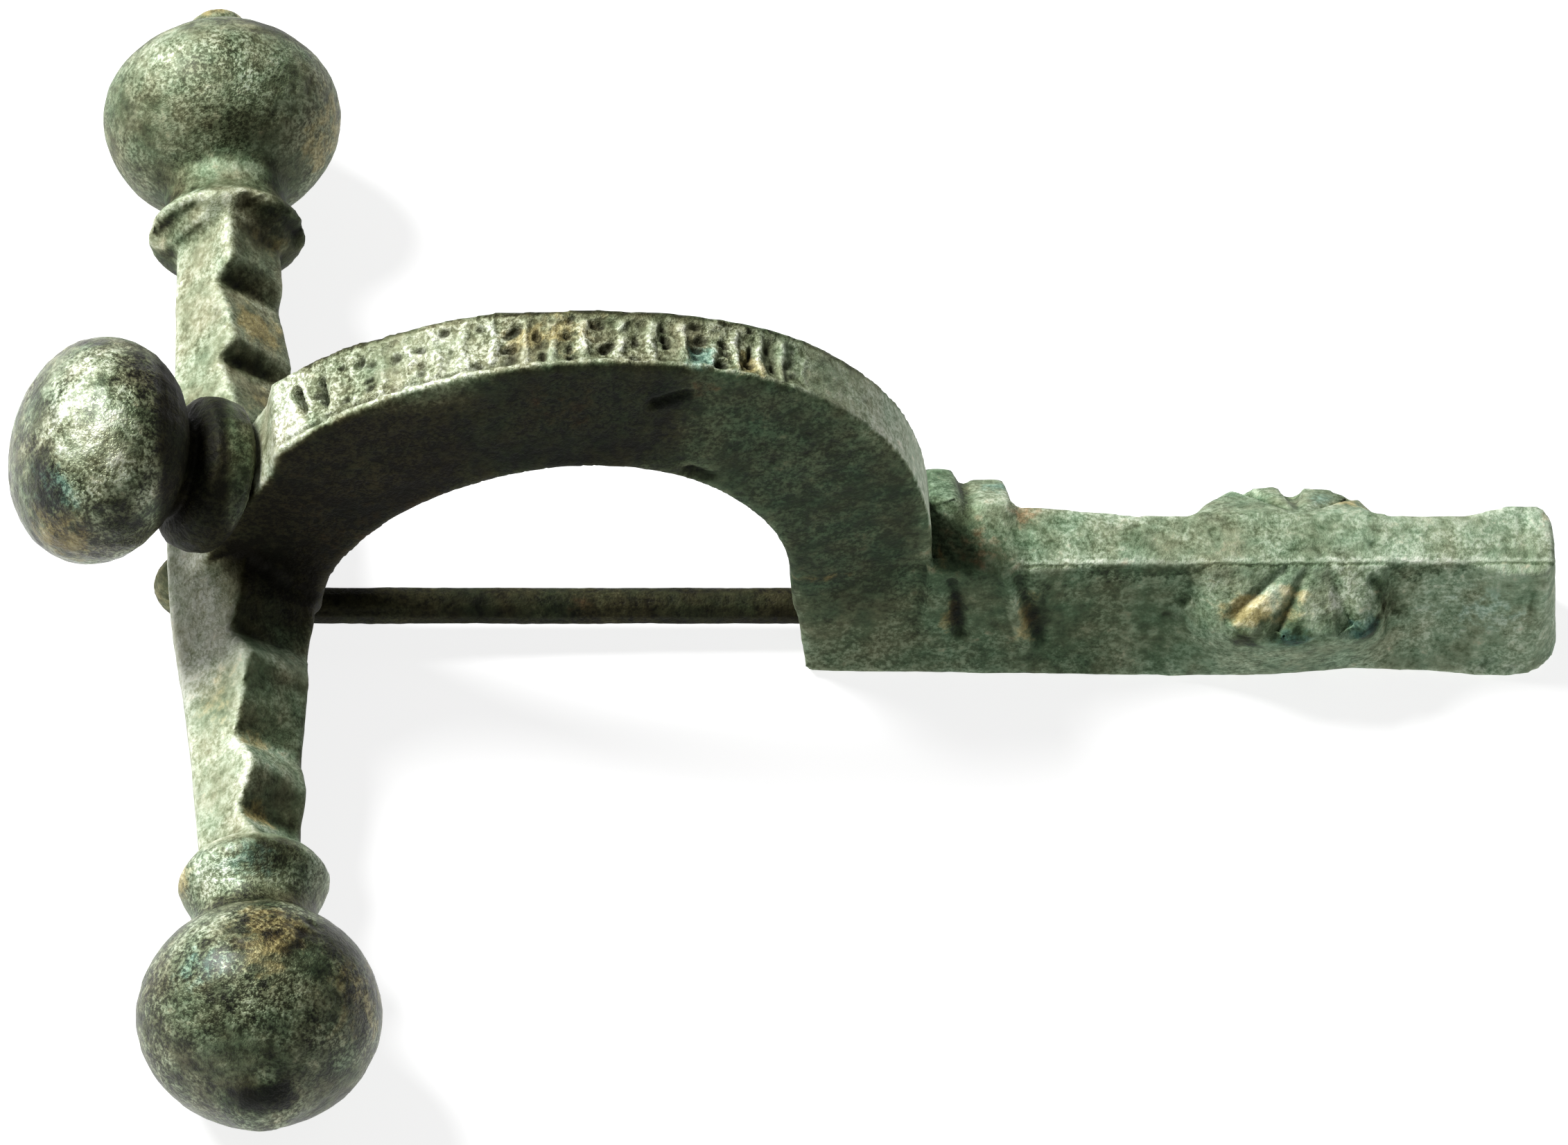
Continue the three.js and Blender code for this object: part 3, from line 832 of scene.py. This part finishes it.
# the bow's strip and its near side
BOW = patches(
    (OCHRE, (15.0, 0.3, 19.4), (3.2, 1.8, 1.2), 0.6),
    (OCHRE, (25.0, -0.8, 18.4), (1.4, 1.1, 1.2), 0.7),
    (TEAL, (22.5, -0.9, 19.2), (1.2, 1.0, 1.0), 0.8),
    (RUST, (22.6, -2.1, 17.8), (1.1, 0.8, 0.8), 0.45),
    (DARK, (20.9, -2.1, 17.2), (1.4, 0.6, 0.7), 1.0),
    (RUST, (6.0, -2.6, 7.0), (7.0, 0.8, 6.0), 0.3),
    (RUST, (16.0, -2.2, 16.5), (4.0, 0.8, 2.0), 0.3),
    (OCHRE, (31.0, -2.6, 1.5), (3.0, 0.6, 0.5), 0.7),
)
# the mouldings, lobes and tip of the foot: stains, with painted shade beside the bow, in the
# mouldings' cuts and at the ends of the fan's cuts, and painted light on a moulding's ridge and on
# the fan's rays
FOOT = patches(
    (DARK, (38.4, -1.2, 1.8), (3.0, 2.2, 1.6), 0.25),
    (RUST, (37.8, -0.6, 2.2), (2.4, 1.8, 1.4), 0.45),
    (DARK, (37.3, -2.8, -1.2), (0.6, 1.2, 2.2), 0.8),
    (OCHRE, (37.0, -2.8, -1.4), (0.7, 1.2, 2.4), 0.55),
    (PALE, (40.4, -2.8, -1.2), (0.6, 1.2, 2.8), 0.4),
    (OCHRE, (41.0, -2.8, -1.2), (0.8, 1.2, 3.0), 0.6),
    (DARK, (41.7, -2.8, -1.2), (0.7, 1.2, 2.6), 0.5),
    (OCHRE, (36.2, -1.4, 3.0), (0.8, 1.4, 2.0), 0.6),
    (RUST, (40.9, 1.6, 1.9), (1.2, 1.2, 0.8), 0.6),
    (TEAL, (39.4, 4.2, 1.4), (1.2, 1.4, 1.4), 0.7),
    (OCHRE, (52.4, -3.3, 0.0), (1.8, 1.4, 1.6), 0.8),
    (OCHRE, (54.6, -3.2, 0.2), (1.4, 1.4, 1.6), 0.5),
    (TEAL, (58.4, -4.2, -0.6), (1.4, 1.0, 1.0), 0.7),
    (TEAL, (54.6, -4.6, -0.8), (1.6, 0.8, 1.0), 0.6),
    (OCHRE, (57.8, 3.2, 0.9), (1.8, 0.9, 1.2), 0.7),
    (DARK, (52.2, -4.4, -1.0), (0.9, 0.9, 1.0), 0.8),
    (DARK, (54.6, -4.6, -0.6), (0.9, 0.8, 1.0), 0.8),
    (DARK, (58.8, -4.0, -1.0), (1.1, 0.9, 1.0), 0.9),
    (DARK, (59.4, -2.4, 0.4), (0.7, 0.8, 1.2), 0.6),
    (PALE, (53.4, -3.0, 0.6), (1.2, 0.9, 0.9), 0.6),
    (PALE, (55.6, -3.4, 0.2), (0.8, 1.0, 0.9), 0.5),
    (PALE, (57.0, -3.2, 0.4), (0.9, 1.0, 0.9), 0.7),
    (TEAL, (56.8, 3.6, 0.9), (1.2, 1.2, 1.2), 0.6),
    (TEAL, (64.5, -2.6, -1.0), (3.4, 1.0, 2.8), 0.35),
    (RUST, (68.4, 1.8, 1.0), (0.9, 1.4, 1.4), 0.6),
)
# the ring and neck painted near black as the knob's shadow on them, the ring's rim on top and at
# its right painted lighter as lit
HEAD_ZONES: tuple[Zone, ...] = (
    Zone((-4.9, -7, -4), (1, 7, 18), 0.02, 0.2, gloss=0.0, edge=0.4),
    Zone((-1.2, -7, 8), (1, 7, 18), 0.26, 0.4, gloss=0.3, edge=0.3),
)
HEAD_PATCHES = patches(
    # painted highlight high on the knob's upper left
    (PALE, (-8.9, -1.0, 14.6), (3.4, 4.4, 3.0), 1.0),
    # painted shade on the knob's right side
    (DARK, (-5.6, 0.0, 14.8), (1.8, 4.0, 2.0), 0.7),
    (DARK, (-10.6, -3.6, 11.4), (1.7, 2.0, 2.0), 0.8),
    (TEAL, (-10.2, -3.8, 11.8), (2.2, 2.2, 2.2), 0.5),
    (OCHRE, (-9.8, -5.0, 9.6), (2.4, 2.4, 2.4), 0.8),
    (DARK, (-7.0, -5.4, 10.4), (2.0, 2.0, 2.6), 0.8),
)


# ---- sub-assemblies

@dataclass(frozen=True)
class Arch:
    """A superellipse in the bow's plane, round its centre at the crossbar's height."""

    centre: float
    head_reach: float
    foot_reach: float
    rise: float
    head_power: float
    foot_power: float

    def read(self, points: np.ndarray) -> tuple[np.ndarray, np.ndarray, np.ndarray]:
        """Where points lie against the arch.

        Args:
            points: the points.

        Returns:
            The angle along the arch in degrees (0 at the foot, 180 at the head), the
            share of the arch's size at which each point lies, and the points moved
            straight out from the centre onto the arch.
        """
        x = points[:, 0] - self.centre
        z = np.maximum(points[:, 2], 1e-6)
        head = x < 0
        reach = np.where(head, self.head_reach, self.foot_reach)
        power = np.where(head, self.head_power, self.foot_power)
        across = (np.abs(x) / reach) ** (power / 2)
        up = (z / self.rise) ** (power / 2)
        share = (across ** 2 + up ** 2) ** (1 / power)
        angle = np.degrees(np.arctan2(up, np.where(head, -across, across)))
        on_arch = points.copy()
        on_arch[:, 0] = self.centre + x / share
        on_arch[:, 2] = points[:, 2] / share
        return angle, share, on_arch


@dataclass(frozen=True)
class Ladder:
    """The row of rungs with punched pits along the bow's outer strip."""

    arch: Arch = Arch(17.0, 20.5, 18.75, 19.75, 2.0, 2.36)
    half: Stops = ((4.0, 1.75), (90.0, 1.75), (141.0, 2.35))
    start: float = 134.0
    end: float = 62.0
    rungs: int = 18
    spacing: float = 1.45
    border: float = 0.42
    rim: float = 0.07
    bar: float = 0.09
    panel: Pair = (0.10, 0.16)
    pit_depth: float = 0.34
    pit_half: float = 0.36
    crumble: float = 0.08
    # painted light: the strip's tone along the arch follows how it is lit, palest on the outer face
    # near the foot
    tones: Stops = (
        (20.0, 0.9), (50.0, 0.7), (66.0, 0.55), (90.0, 0.63), (112.0, 0.68), (141.0, 0.7))
    greens: Stops = ((30.0, 0.7), (60.0, 0.45), (90.0, 0.15), (141.0, 0.3))
    bold: tuple[Groove, ...] = (
        Groove((2.2, 0.9, 13.7), (2.7, -0.6, 13.95), (0.32, 0.26), (0.9, 0.8), 0.5),
        Groove((3.4, 0.8, 14.7), (3.6, -0.7, 14.9), (0.3, 0.26), (0.85, 0.75), 0.5),
        Groove((6.9, 1.0, 16.9), (7.0, 0.2, 17.0), (0.24, 0.24), (0.5, 0.5), 0.6))

    def on_strip(self, points: np.ndarray) -> tuple[np.ndarray, ...]:
        """Reads the strip.

        Args:
            points: the casting's points.

        Returns:
            For each point its angle on the arch, how far it lies inside the strip's edge,
            whether it is on the strip, and its place on the arch.
        """
        angle, share, on_arch = self.arch.read(points)
        inside = along(self.half, angle) - np.abs(points[:, 1])
        mask = (inside > 0.1) & (share > 0.93) & (angle > 5.0) & (angle < 140.5)
        return angle, inside, mask & (points[:, 2] > 0.5), on_arch

    def clear(self, skin: Skin) -> None:
        """Lifts the strip's points onto one clean surface.

        Args:
            skin: the skin to work on.
        """
        _, inside, mask, on_arch = self.on_strip(skin.points)
        share = (mask * smoothstep(0.1, 0.3, inside))[:, None]
        skin.points += share * (on_arch - skin.points)

    def carve(self, skin: Skin) -> None:
        """Raises the rims and bars, sinks the panels and punches the pits.

        Args:
            skin: the skin to work on.
        """
        p, y = skin.points, skin.points[:, 1]
        near = y < 0.0
        angle, inside, mask, _ = self.on_strip(p)
        step = (self.start - angle) / (self.start - self.end)
        warp = cloud(p, 1.1, 11)
        place = step * (self.rungs - 1) + 0.16 * cloud(p, 2.8, 10) + 0.22 * warp
        off = np.abs(place - np.floor(place) - 0.5)
        shown = smoothstep(-0.6, 0.2, place) * smoothstep(self.rungs + 1.0, self.rungs - 2.0, place)
        fading = 0.35 + 0.65 * smoothstep(0.2, 0.6, step)
        lined = smoothstep(0.16, 0.06, np.abs(inside - 0.62)) * near
        lined *= smoothstep(0.55, 0.35, step) * smoothstep(-0.12, -0.05, step)
        border = self.border + 0.2 * (y > 0.0)
        within = smoothstep(border - 0.1, border + 0.2, inside + 0.15 * warp)
        bar = smoothstep(0.26, 0.46, off) * smoothstep(-0.55, -0.1, cloud(p, 0.9, 12))
        near_depth, far_depth = self.panel
        depth = near_depth + (far_depth - near_depth) * np.clip(step, 0.0, 1.0)
        height = self.bar * bar * fading - depth * (1.0 - bar)
        pits = self._pits(place, y + 0.3 * warp, inside) * (0.25 + 0.75 * fading)
        rim = smoothstep(self.border + 0.1, self.border - 0.1, inside) * near
        slots = sum(groove.sink(p) for groove in self.bold)
        crumbly = self.crumble * (cloud(p, 0.45, 13) + 0.7 * cloud(p, 0.8, 14))
        skin.raise_by(mask * (shown * (within * height - pits + crumbly) - 0.1 * lined
                              + self.rim * rim * smoothstep(1.4, 0.9, step)) - slots)
        punched = mask * shown * np.clip(2.6 * pits / self.pit_depth, 0.0, 1.0)
        # the punched pits and slots are painted dark, partly dirt and partly painted shade, the
        # line inside the near rim as painted shade; the raised bars and rim get a painted highlight
        skin.lay("ladder", punched + 1.4 * slots + 0.5 * mask * lined)
        skin.paint["rung"] = mask * shown * (within * bar * fading + 0.5 * rim)

    def shade(self, skin: Skin) -> None:
        """Paints light on the strip and a highlight on its raised rungs and rim, and darkens the
        pits.

        Args:
            skin: the skin to work on.
        """
        p, paint = skin.points, skin.paint
        angle, inside, mask, _ = self.on_strip(p)
        share = mask * smoothstep(0.0, 0.25, inside) * smoothstep(6.0, 14.0, angle)
        far_edge = smoothstep(0.5, 0.2, inside) * (p[:, 1] > 0.0)
        # painted light: the strip's tone by its place on the arch, and a painted highlight on the
        # raised rungs and rim
        tone = along(self.tones, angle) - 0.3 * far_edge + 0.5 * (paint["tone"] - 0.4)
        paint["tone"] += share * (tone - paint["tone"]) + 0.24 * paint.pop("rung")
        paint["green"] += share * (along(self.greens, angle) - paint["green"])
        paint["grit"] += share * smoothstep(50.0, 75.0, angle) * (0.6 - paint["grit"])
        skin.lay("pit", paint["pit"] + paint.pop("ladder"))
        skin.lay("tone", paint["tone"])

    def _pits(self, place: np.ndarray, y: np.ndarray, inside: np.ndarray) -> np.ndarray:
        """Depth of the punched pits.

        Args:
            place: how many rungs from the head each point lies.
            y: its place across the strip.
            inside: its distance inside the strip's edge.

        Returns:
            The depth at each point.
        """
        chance = np.random.default_rng(5)
        depth = np.zeros(len(place))
        for row in range(self.rungs):
            for across in (-1.05, -0.4, 0.25, 0.9):
                shift = chance.uniform(-0.3, 0.3, 2)
                long, wide = self.pit_half * chance.uniform(0.5, 1.15, 2)
                deep = self.pit_depth * max(0.0, chance.uniform(0.0, 1.5))
                run = (place - row - 0.5 + 0.5 * shift[0]) * self.spacing
                away = np.hypot(run / long, (y - across - shift[1]) / wide)
                depth = np.maximum(depth, deep * smoothstep(1.25, 0.1, away))
        return depth * smoothstep(0.2, 0.45, inside)


@dataclass(frozen=True)
class Fan:
    """Chip-carved grooves that spread over one lobe of the foot."""

    side: int
    cuts: tuple[tuple[float, ...], ...]  # root's x, turn in degrees, end's half and depth
    root: Pair = (1.85, 1.6)  # y and z where the cuts start
    slope: Pair = (-3.15, -2.1)  # the lobe's face, across and down
    reach: float = 4.6

    def grooves(self) -> list[Groove]:
        """The fan's cuts, each from its root near the crease out to the lobe's edge.

        Returns:
            The grooves.
        """
        out = Vector((0.0, -self.slope[0] * self.side, self.slope[1])).normalized()
        cuts = []
        for root_x, turn, half, depth in self.cuts:
            start = Vector((root_x, self.root[0] * self.side, self.root[1]))
            angle = math.radians(turn)
            way = out * math.cos(angle) + Vector((1.0, 0.0, 0.0)) * math.sin(angle)
            end = start + way * (self.reach / math.cos(angle))
            cuts.append(Groove(tuple(start), tuple(end), (0.35, half), (0.1, depth)))
        return cuts


@dataclass
class Part:
    """What the pieces share: a skin, its corrosion with its painted light and shade, and its
    patina.
    """

    name: str = "part"
    voxel: float = 0.13  # side of a face in millimetres
    patina: Patina = Patina("part_bronze")
    corrosion_and_light: CorrosionAndLight = CorrosionAndLight()

    def weather_and_light(self, skin: Skin) -> None:
        """Eats into the skin, stains it and paints light and shade into its colour."""
        self.corrosion_and_light.eat(skin)
        self.corrosion_and_light.stain_and_light(skin)

    def dress(self, skin: Skin) -> bpy.types.Object:
        """Makes an object of the finished skin, in its patina.

        Args:
            skin: the skin to work on.

        Returns:
            The object.
        """
        piece = skin.piece(self.name)
        piece.data.materials.append(self.patina.material())
        return piece


@dataclass
class BowCasting(Part):
    """The bow, crossbar with its knobs, and foot, cast in one."""

    name: str = "cast_brooch_body"
    voxel: float = 0.27
    ladder: Ladder = Ladder()
    fans: tuple[Fan, ...] = (
        Fan(-1, ((54.3, -50.0, 0.7, 0.7), (55.4, -25.0, 0.75, 0.75), (56.6, 20.0, 1.1, 1.1))),
        Fan(1, ((54.9, -34.0, 0.6, 0.7), (55.2, 0.0, 0.8, 0.8), (55.6, 42.0, 0.9, 0.8))))
    cuts: tuple[Groove, ...] = (
        Groove((20.2, -2.2, 16.9), (21.8, -2.1, 17.6), (0.42, 0.36), (0.45, 0.35), 0.7),
        Groove((36.8, -2.4, 1.0), (37.6, -3.0, -2.9), (0.5, 0.55), (0.35, 0.5)),
        Groove((39.6, -2.2, 1.4), (41.0, -3.0, -3.6), (0.5, 0.5), (-0.2, -0.35)),
        Groove((40.4, -2.2, 1.2), (41.9, -3.0, -3.6), (0.5, 0.55), (0.3, 0.35)),
        Groove((28.9, -2.75, 1.25), (33.6, -2.35, 1.6), (0.3, 0.3), (0.12, 0.1)),
        Groove((58.9, -2.2, 1.1), (60.4, -3.0, -2.6), (0.45, 0.6), (0.3, 0.25)),
        Groove((67.2, -2.4, 0.9), (67.6, -3.0, -3.0), (0.3, 0.3), (0.16, 0.16)),
        Groove((66.9, -2.2, 1.8), (66.9, 1.8, 1.8), (0.3, 0.3), (0.08, 0.08)),
        Groove((22.3, -2.7, 11.6), (23.4, -2.4, 11.0), (0.45, 0.45), (0.5, 0.45)),
        Groove((-2.0, 20.0, 3.3), (-4.0, 20.0, 0.6), (0.75, 0.8), (0.45, 0.5), 0.7),
        Groove((1.0, 20.0, 3.7), (3.9, 20.0, 0.6), (0.75, 0.8), (0.45, 0.5), 0.7))
    arm_length: float = 20.3
    collar: float = 0.9  # how far inside the arm's end its turning starts
    lathe_sides: int = 28
    rib_box: Pair = (35.7, 40.9)
    foot_side: tuple[Pair, Pair] = ((2.15, 1.75), (3.2, -6.0))  # its half width and height
    side_wear: float = 0.97  # shares of the mouldings that are worn away
    top_wear: float = 0.6
    lobe_box: tuple[float, float, float, float] = (47.6, 62.0, -0.6, -5.9)
    lobe_ends: tuple[Pair, Pair] = ((52.6, 50.6), (57.6, 59.4))  # where they soften
    lobe_reach: Pair = (47.0, 62.0)
    fine_lobe: tuple[float, float, float, float] = (55.0, 5.6, 1.4, -3.6)
    button: Pair = (31.6, 32.8)  # where the near knob's button softens
    root_end: float = 2.9  # how far the bow's root reaches under the crossbar
    root_trim: float = 0.85
    patina: Patina = Patina("brooch_bronze", scribed=True)
    corrosion_and_light: CorrosionAndLight = CorrosionAndLight(
        zones=BODY_ZONES, patches=NEAR_KNOB + FAR_KNOB + CROSSBAR + BOW + FOOT)

    def build(self) -> bpy.types.Object:
        """Makes the carved and weathered casting.

        Returns:
            The finished piece, riding on the brooch.
        """
        skin = Skin("bow_casting", self.voxel)
        self._round_knobs(skin)
        self.ladder.clear(skin)
        skin.fair(4)
        self._wear_foot(skin)
        self._fill_under_lobe(skin)
        self._trim_root(skin)
        skin.refine(self._finely_carved(skin))
        self.ladder.carve(skin)
        cuts = list(self.cuts) + [cut for fan in self.fans for cut in fan.grooves()]
        skin.raise_by(-sum(cut.sink(skin.points) for cut in cuts))
        self.weather_and_light(skin)
        self.ladder.shade(skin)
        piece = self.dress(skin)
        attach(piece, "brooch")
        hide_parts("bow_casting")
        return piece

    def _round_knobs(self, skin: Skin) -> None:
        """Turns the flat-sided knobs and collars of both arms truly round.

        Args:
            skin: the skin to work on.
        """
        p = skin.points
        turned = np.abs(p[:, 1]) > self.arm_length - self.collar
        flat = math.pi / self.lathe_sides
        angle = np.arctan2(p[turned, 0], p[turned, 2])
        off = np.mod(angle, 2 * flat) - flat
        grow = np.cos(off) / math.cos(flat)
        p[turned, 0] *= grow
        p[turned, 2] *= grow

    def _wear_foot(self, skin: Skin) -> None:
        """Wears the mouldings down on the near side, and softens the lobes' ends.

        Args:
            skin: the skin to work on.
        """
        x, y, z = skin.points.T
        low, high = self.rib_box
        ended = smoothstep(high + 0.3, high - 0.3, x)
        ribs = smoothstep(low - 0.15, low + 0.15, x) * ended
        (top_half, top), (base_half, base) = self.foot_side
        side = -(top_half + (top - z) * (base_half - top_half) / (top - base))
        above = smoothstep(-5.4, -4.0, z)
        out = np.clip(side - y, 0.0, None) * (z < 3.0) * above
        y += self.side_wear * smoothstep(low - 0.45, low - 0.15, x) * ended * out
        over = np.clip(z - top, 0.0, None) * smoothstep(4.2, 3.2, z)
        z -= self.top_wear * ribs * over * smoothstep(1.6, -0.4, y)
        near = smoothstep(2.0, 0.4, y) * smoothstep(4.0, 3.2, z) * above
        off_bow = np.maximum(smoothstep(1.9, 1.6, z), smoothstep(low + 0.1, low + 0.4, x))
        skin.melt(ribs * near * off_bow, 24)
        heel, toe = self.lobe_ends
        first, last = self.lobe_reach
        ends = np.maximum(smoothstep(*heel, x) * (x > first), smoothstep(*toe, x) * (x < last))
        skin.melt(ends * smoothstep(1.9, 2.5, np.abs(y)) * above, 30)
        skin.melt(smoothstep(*self.button, -y), 30)

    def _fill_under_lobe(self, skin: Skin) -> None:
        """Slopes the foot's near side out to meet the lobe from below.

        Args:
            skin: the skin to work on.
        """
        x, y, z = skin.points.T
        start, end, brim, base = self.lobe_box
        bins = np.arange(start, end, 0.4)
        widest, foot = [], []
        for middle in bins:
            slab = np.abs(x - middle) < 0.4
            widest.append(np.max(-y[slab & (np.abs(z - brim) < 0.7)]))
            foot.append(np.max(-y[slab & (np.abs(z - base) < 0.4)]))
        swell = np.interp(x, bins, widest)
        goal = np.interp(x, bins, foot) + 0.2
        goal += (swell - goal) * np.clip((z - base) / (brim - base), 0.0, 1.0)
        inner = smoothstep(start + 0.4, start + 1.4, x) * smoothstep(end - 0.4, end - 1.4, x)
        inner *= (y < -2.2) * (z < brim)
        lift = np.clip(goal + y, 0.0, None) * smoothstep(base - 0.4, base + 0.4, z)
        y -= inner * lift
        skin.melt(inner * smoothstep(base, base + 1.0, z), 12)

    def _trim_root(self, skin: Skin) -> None:
        """Draws in the bow's root under the crossbar.

        Args:
            skin: the skin to work on.
        """
        x, y, z = skin.points.T
        root = smoothstep(-0.6, -1.8, z) * (np.abs(y) < 3.4) * (x < 6.0)
        x -= self.root_trim * root * np.clip(x - self.root_end, 0.0, None)

    def _finely_carved(self, skin: Skin) -> np.ndarray:
        """A mask of the points where the carving is fine.

        Args:
            skin: the skin to work on.

        Returns:
            True at each point that needs finer faces.
        """
        x, y, z = skin.points.T
        angle, _, strip, _ = self.ladder.on_strip(skin.points)
        middle, half, aside, floor = self.fine_lobe
        lobe = (np.abs(x - middle) < half) & (np.abs(y) > aside) & (z > floor)
        return (strip & (angle > self.ladder.end - 6.0)) | lobe


@dataclass
class HeadKnob(Part):
    """The separately made knob that stands on the bow's head."""

    name: str = "cast_head_knob"
    patina: Patina = Patina("head_knob_bronze", roughness=0.6)
    corrosion_and_light: CorrosionAndLight = CorrosionAndLight(
        zones=HEAD_ZONES, patches=HEAD_PATCHES, tone=0.38, green=0.4, gloss=1.0,
        pit=0.03, seed=30.0)

    def build(self) -> bpy.types.Object:
        """Makes the weathered knob.

        Returns:
            The finished piece, riding on the brooch.
        """
        skin = Skin("head_knob", self.voxel)
        skin.fair(12)
        self.weather_and_light(skin)
        piece = self.dress(skin)
        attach(piece, "brooch")
        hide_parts("head_knob")
        return piece


@dataclass
class Pin(Part):
    """The pin with its eye, and the rod that it turns on."""

    name: str = "forged_pin"
    patina: Patina = Patina("pin_bronze_skin")
    rod: Patina = Patina("rod_bronze_skin", tone=0.25)
    corrosion_and_light: CorrosionAndLight = CorrosionAndLight(
        lump=0.03, pit=0.03, seed=60.0, tone=0.09, green=0.2,
        patches=(Patch(RUST, (18.0, -0.6, -3.8), (1.0, 1.0, 1.0), 0.5),
                 Patch(PALE, (-3.6, -0.6, -2.0), (1.8, 2.4, 2.4)),
                 Patch(OCHRE, (-3.6, -0.6, -2.0), (1.8, 2.4, 2.4), 0.3)))

    def build(self) -> bpy.types.Object:
        """Makes the weathered pin and dresses the rod.

        Returns:
            The finished pin, riding on its own body.
        """
        skin = Skin("pin", self.voxel)
        skin.fair(8)
        self.weather_and_light(skin)
        piece = self.dress(skin)
        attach(piece, "pin")
        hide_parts("pin")
        rod = frame["nodes"]["hinge_rod"]
        rod.data.materials.clear()
        rod.data.materials.append(self.rod.material())
        return piece


# ---- stage

@dataclass
class Studio:
    """A pale floor, soft light from the upper left and the camera above the near side."""

    target: Point = (-0.495, -2.015, 7.892)  # millimetres in the frame
    azimuth: float = 9.5
    elevation: float = 55.0
    roll: float = 7.805
    distance: float = 800.0
    view_width: float = 81.22
    key_from: Point = (-0.58, 0.32, 0.75)
    key_distance: float = 700.0
    key_size: float = 260.0
    key_power: float = 9.5
    world_light: float = 0.2
    floor_size: float = 6000.0
    floor_grey: Colour = (0.35, 0.35, 0.35)
    floor_glow: float = 0.82
    sensor: float = 36.0

    def build(self) -> None:
        """Sets up the floor, the lights and the camera."""
        self._floor()
        self._key_light()
        self._world()
        self._camera()
        bpy.context.scene.view_settings.view_transform = "Standard"

    def _floor(self) -> None:
        """A plain pale floor that the brooch lies on."""
        half = 0.5 * self.floor_size * MM
        mesh = bpy.data.meshes.new("floor")
        corners = [(-half, -half, 0.0), (half, -half, 0.0), (half, half, 0.0), (-half, half, 0.0)]
        mesh.from_pydata(corners, [], [(0, 1, 2, 3)])
        board = Board("floor_white")
        mesh.materials.append(board.finish({
            "Base Color": self.floor_grey, "Roughness": 0.9,
            "Emission Color": (1.0, 1.0, 1.0), "Emission Strength": self.floor_glow}))
        floor = bpy.data.objects.new("floor", mesh)
        bpy.context.scene.collection.objects.link(floor)

    def _key_light(self) -> None:
        """One soft lamp high on the left."""
        lamp = bpy.data.lights.new("key", "AREA")
        lamp.shape = "DISK"
        lamp.size = self.key_size * MM
        lamp.energy = self.key_power
        holder = bpy.data.objects.new("key", lamp)
        way = Vector(self.key_from).normalized()
        holder.location = way * self.key_distance * MM
        holder.rotation_euler = way.to_track_quat("Z", "Y").to_euler()
        bpy.context.scene.collection.objects.link(holder)

    def _world(self) -> None:
        """Even pale light from all round."""
        world = bpy.data.worlds.new("studio")
        world.use_nodes = True
        sky = world.node_tree.nodes["Background"]
        sky.inputs["Color"].default_value = (1.0, 1.0, 1.0, 1.0)
        sky.inputs["Strength"].default_value = self.world_light
        bpy.context.scene.world = world

    def _camera(self) -> None:
        """A long lens looking down over the near arm."""
        turn, tilt = math.radians(self.azimuth), math.radians(self.elevation)
        roll = math.radians(self.roll)
        forward = Vector((math.sin(turn) * math.cos(tilt), math.cos(turn) * math.cos(tilt),
                          -math.sin(tilt)))
        level = Vector((math.cos(turn), -math.sin(turn), 0.0))
        upright = level.cross(forward)
        right = level * math.cos(roll) + upright * math.sin(roll)
        up = upright * math.cos(roll) - level * math.sin(roll)
        lens = bpy.data.cameras.new("camera")
        lens.sensor_width = self.sensor
        lens.lens = lens.sensor_width * self.distance / self.view_width
        camera = bpy.data.objects.new("camera", lens)
        place = (Vector(self.target) - forward * self.distance) * MM
        turned = Matrix((right, up, -forward)).transposed().to_4x4()
        camera.matrix_world = Matrix.Translation(place) @ turned
        bpy.context.scene.collection.objects.link(camera)
        bpy.context.scene.camera = camera


def main() -> None:
    """Builds the brooch and its stage, and reports each piece."""
    logging.basicConfig(level=logging.INFO, format="%(name)s: %(message)s")
    Studio().build()
    for maker in (BowCasting(), HeadKnob(), Pin()):
        piece = maker.build()
        log.info("%s: %d points, %d faces", piece.name, len(piece.data.vertices),
                 len(piece.data.polygons))


if __name__ == "__main__":
    main()
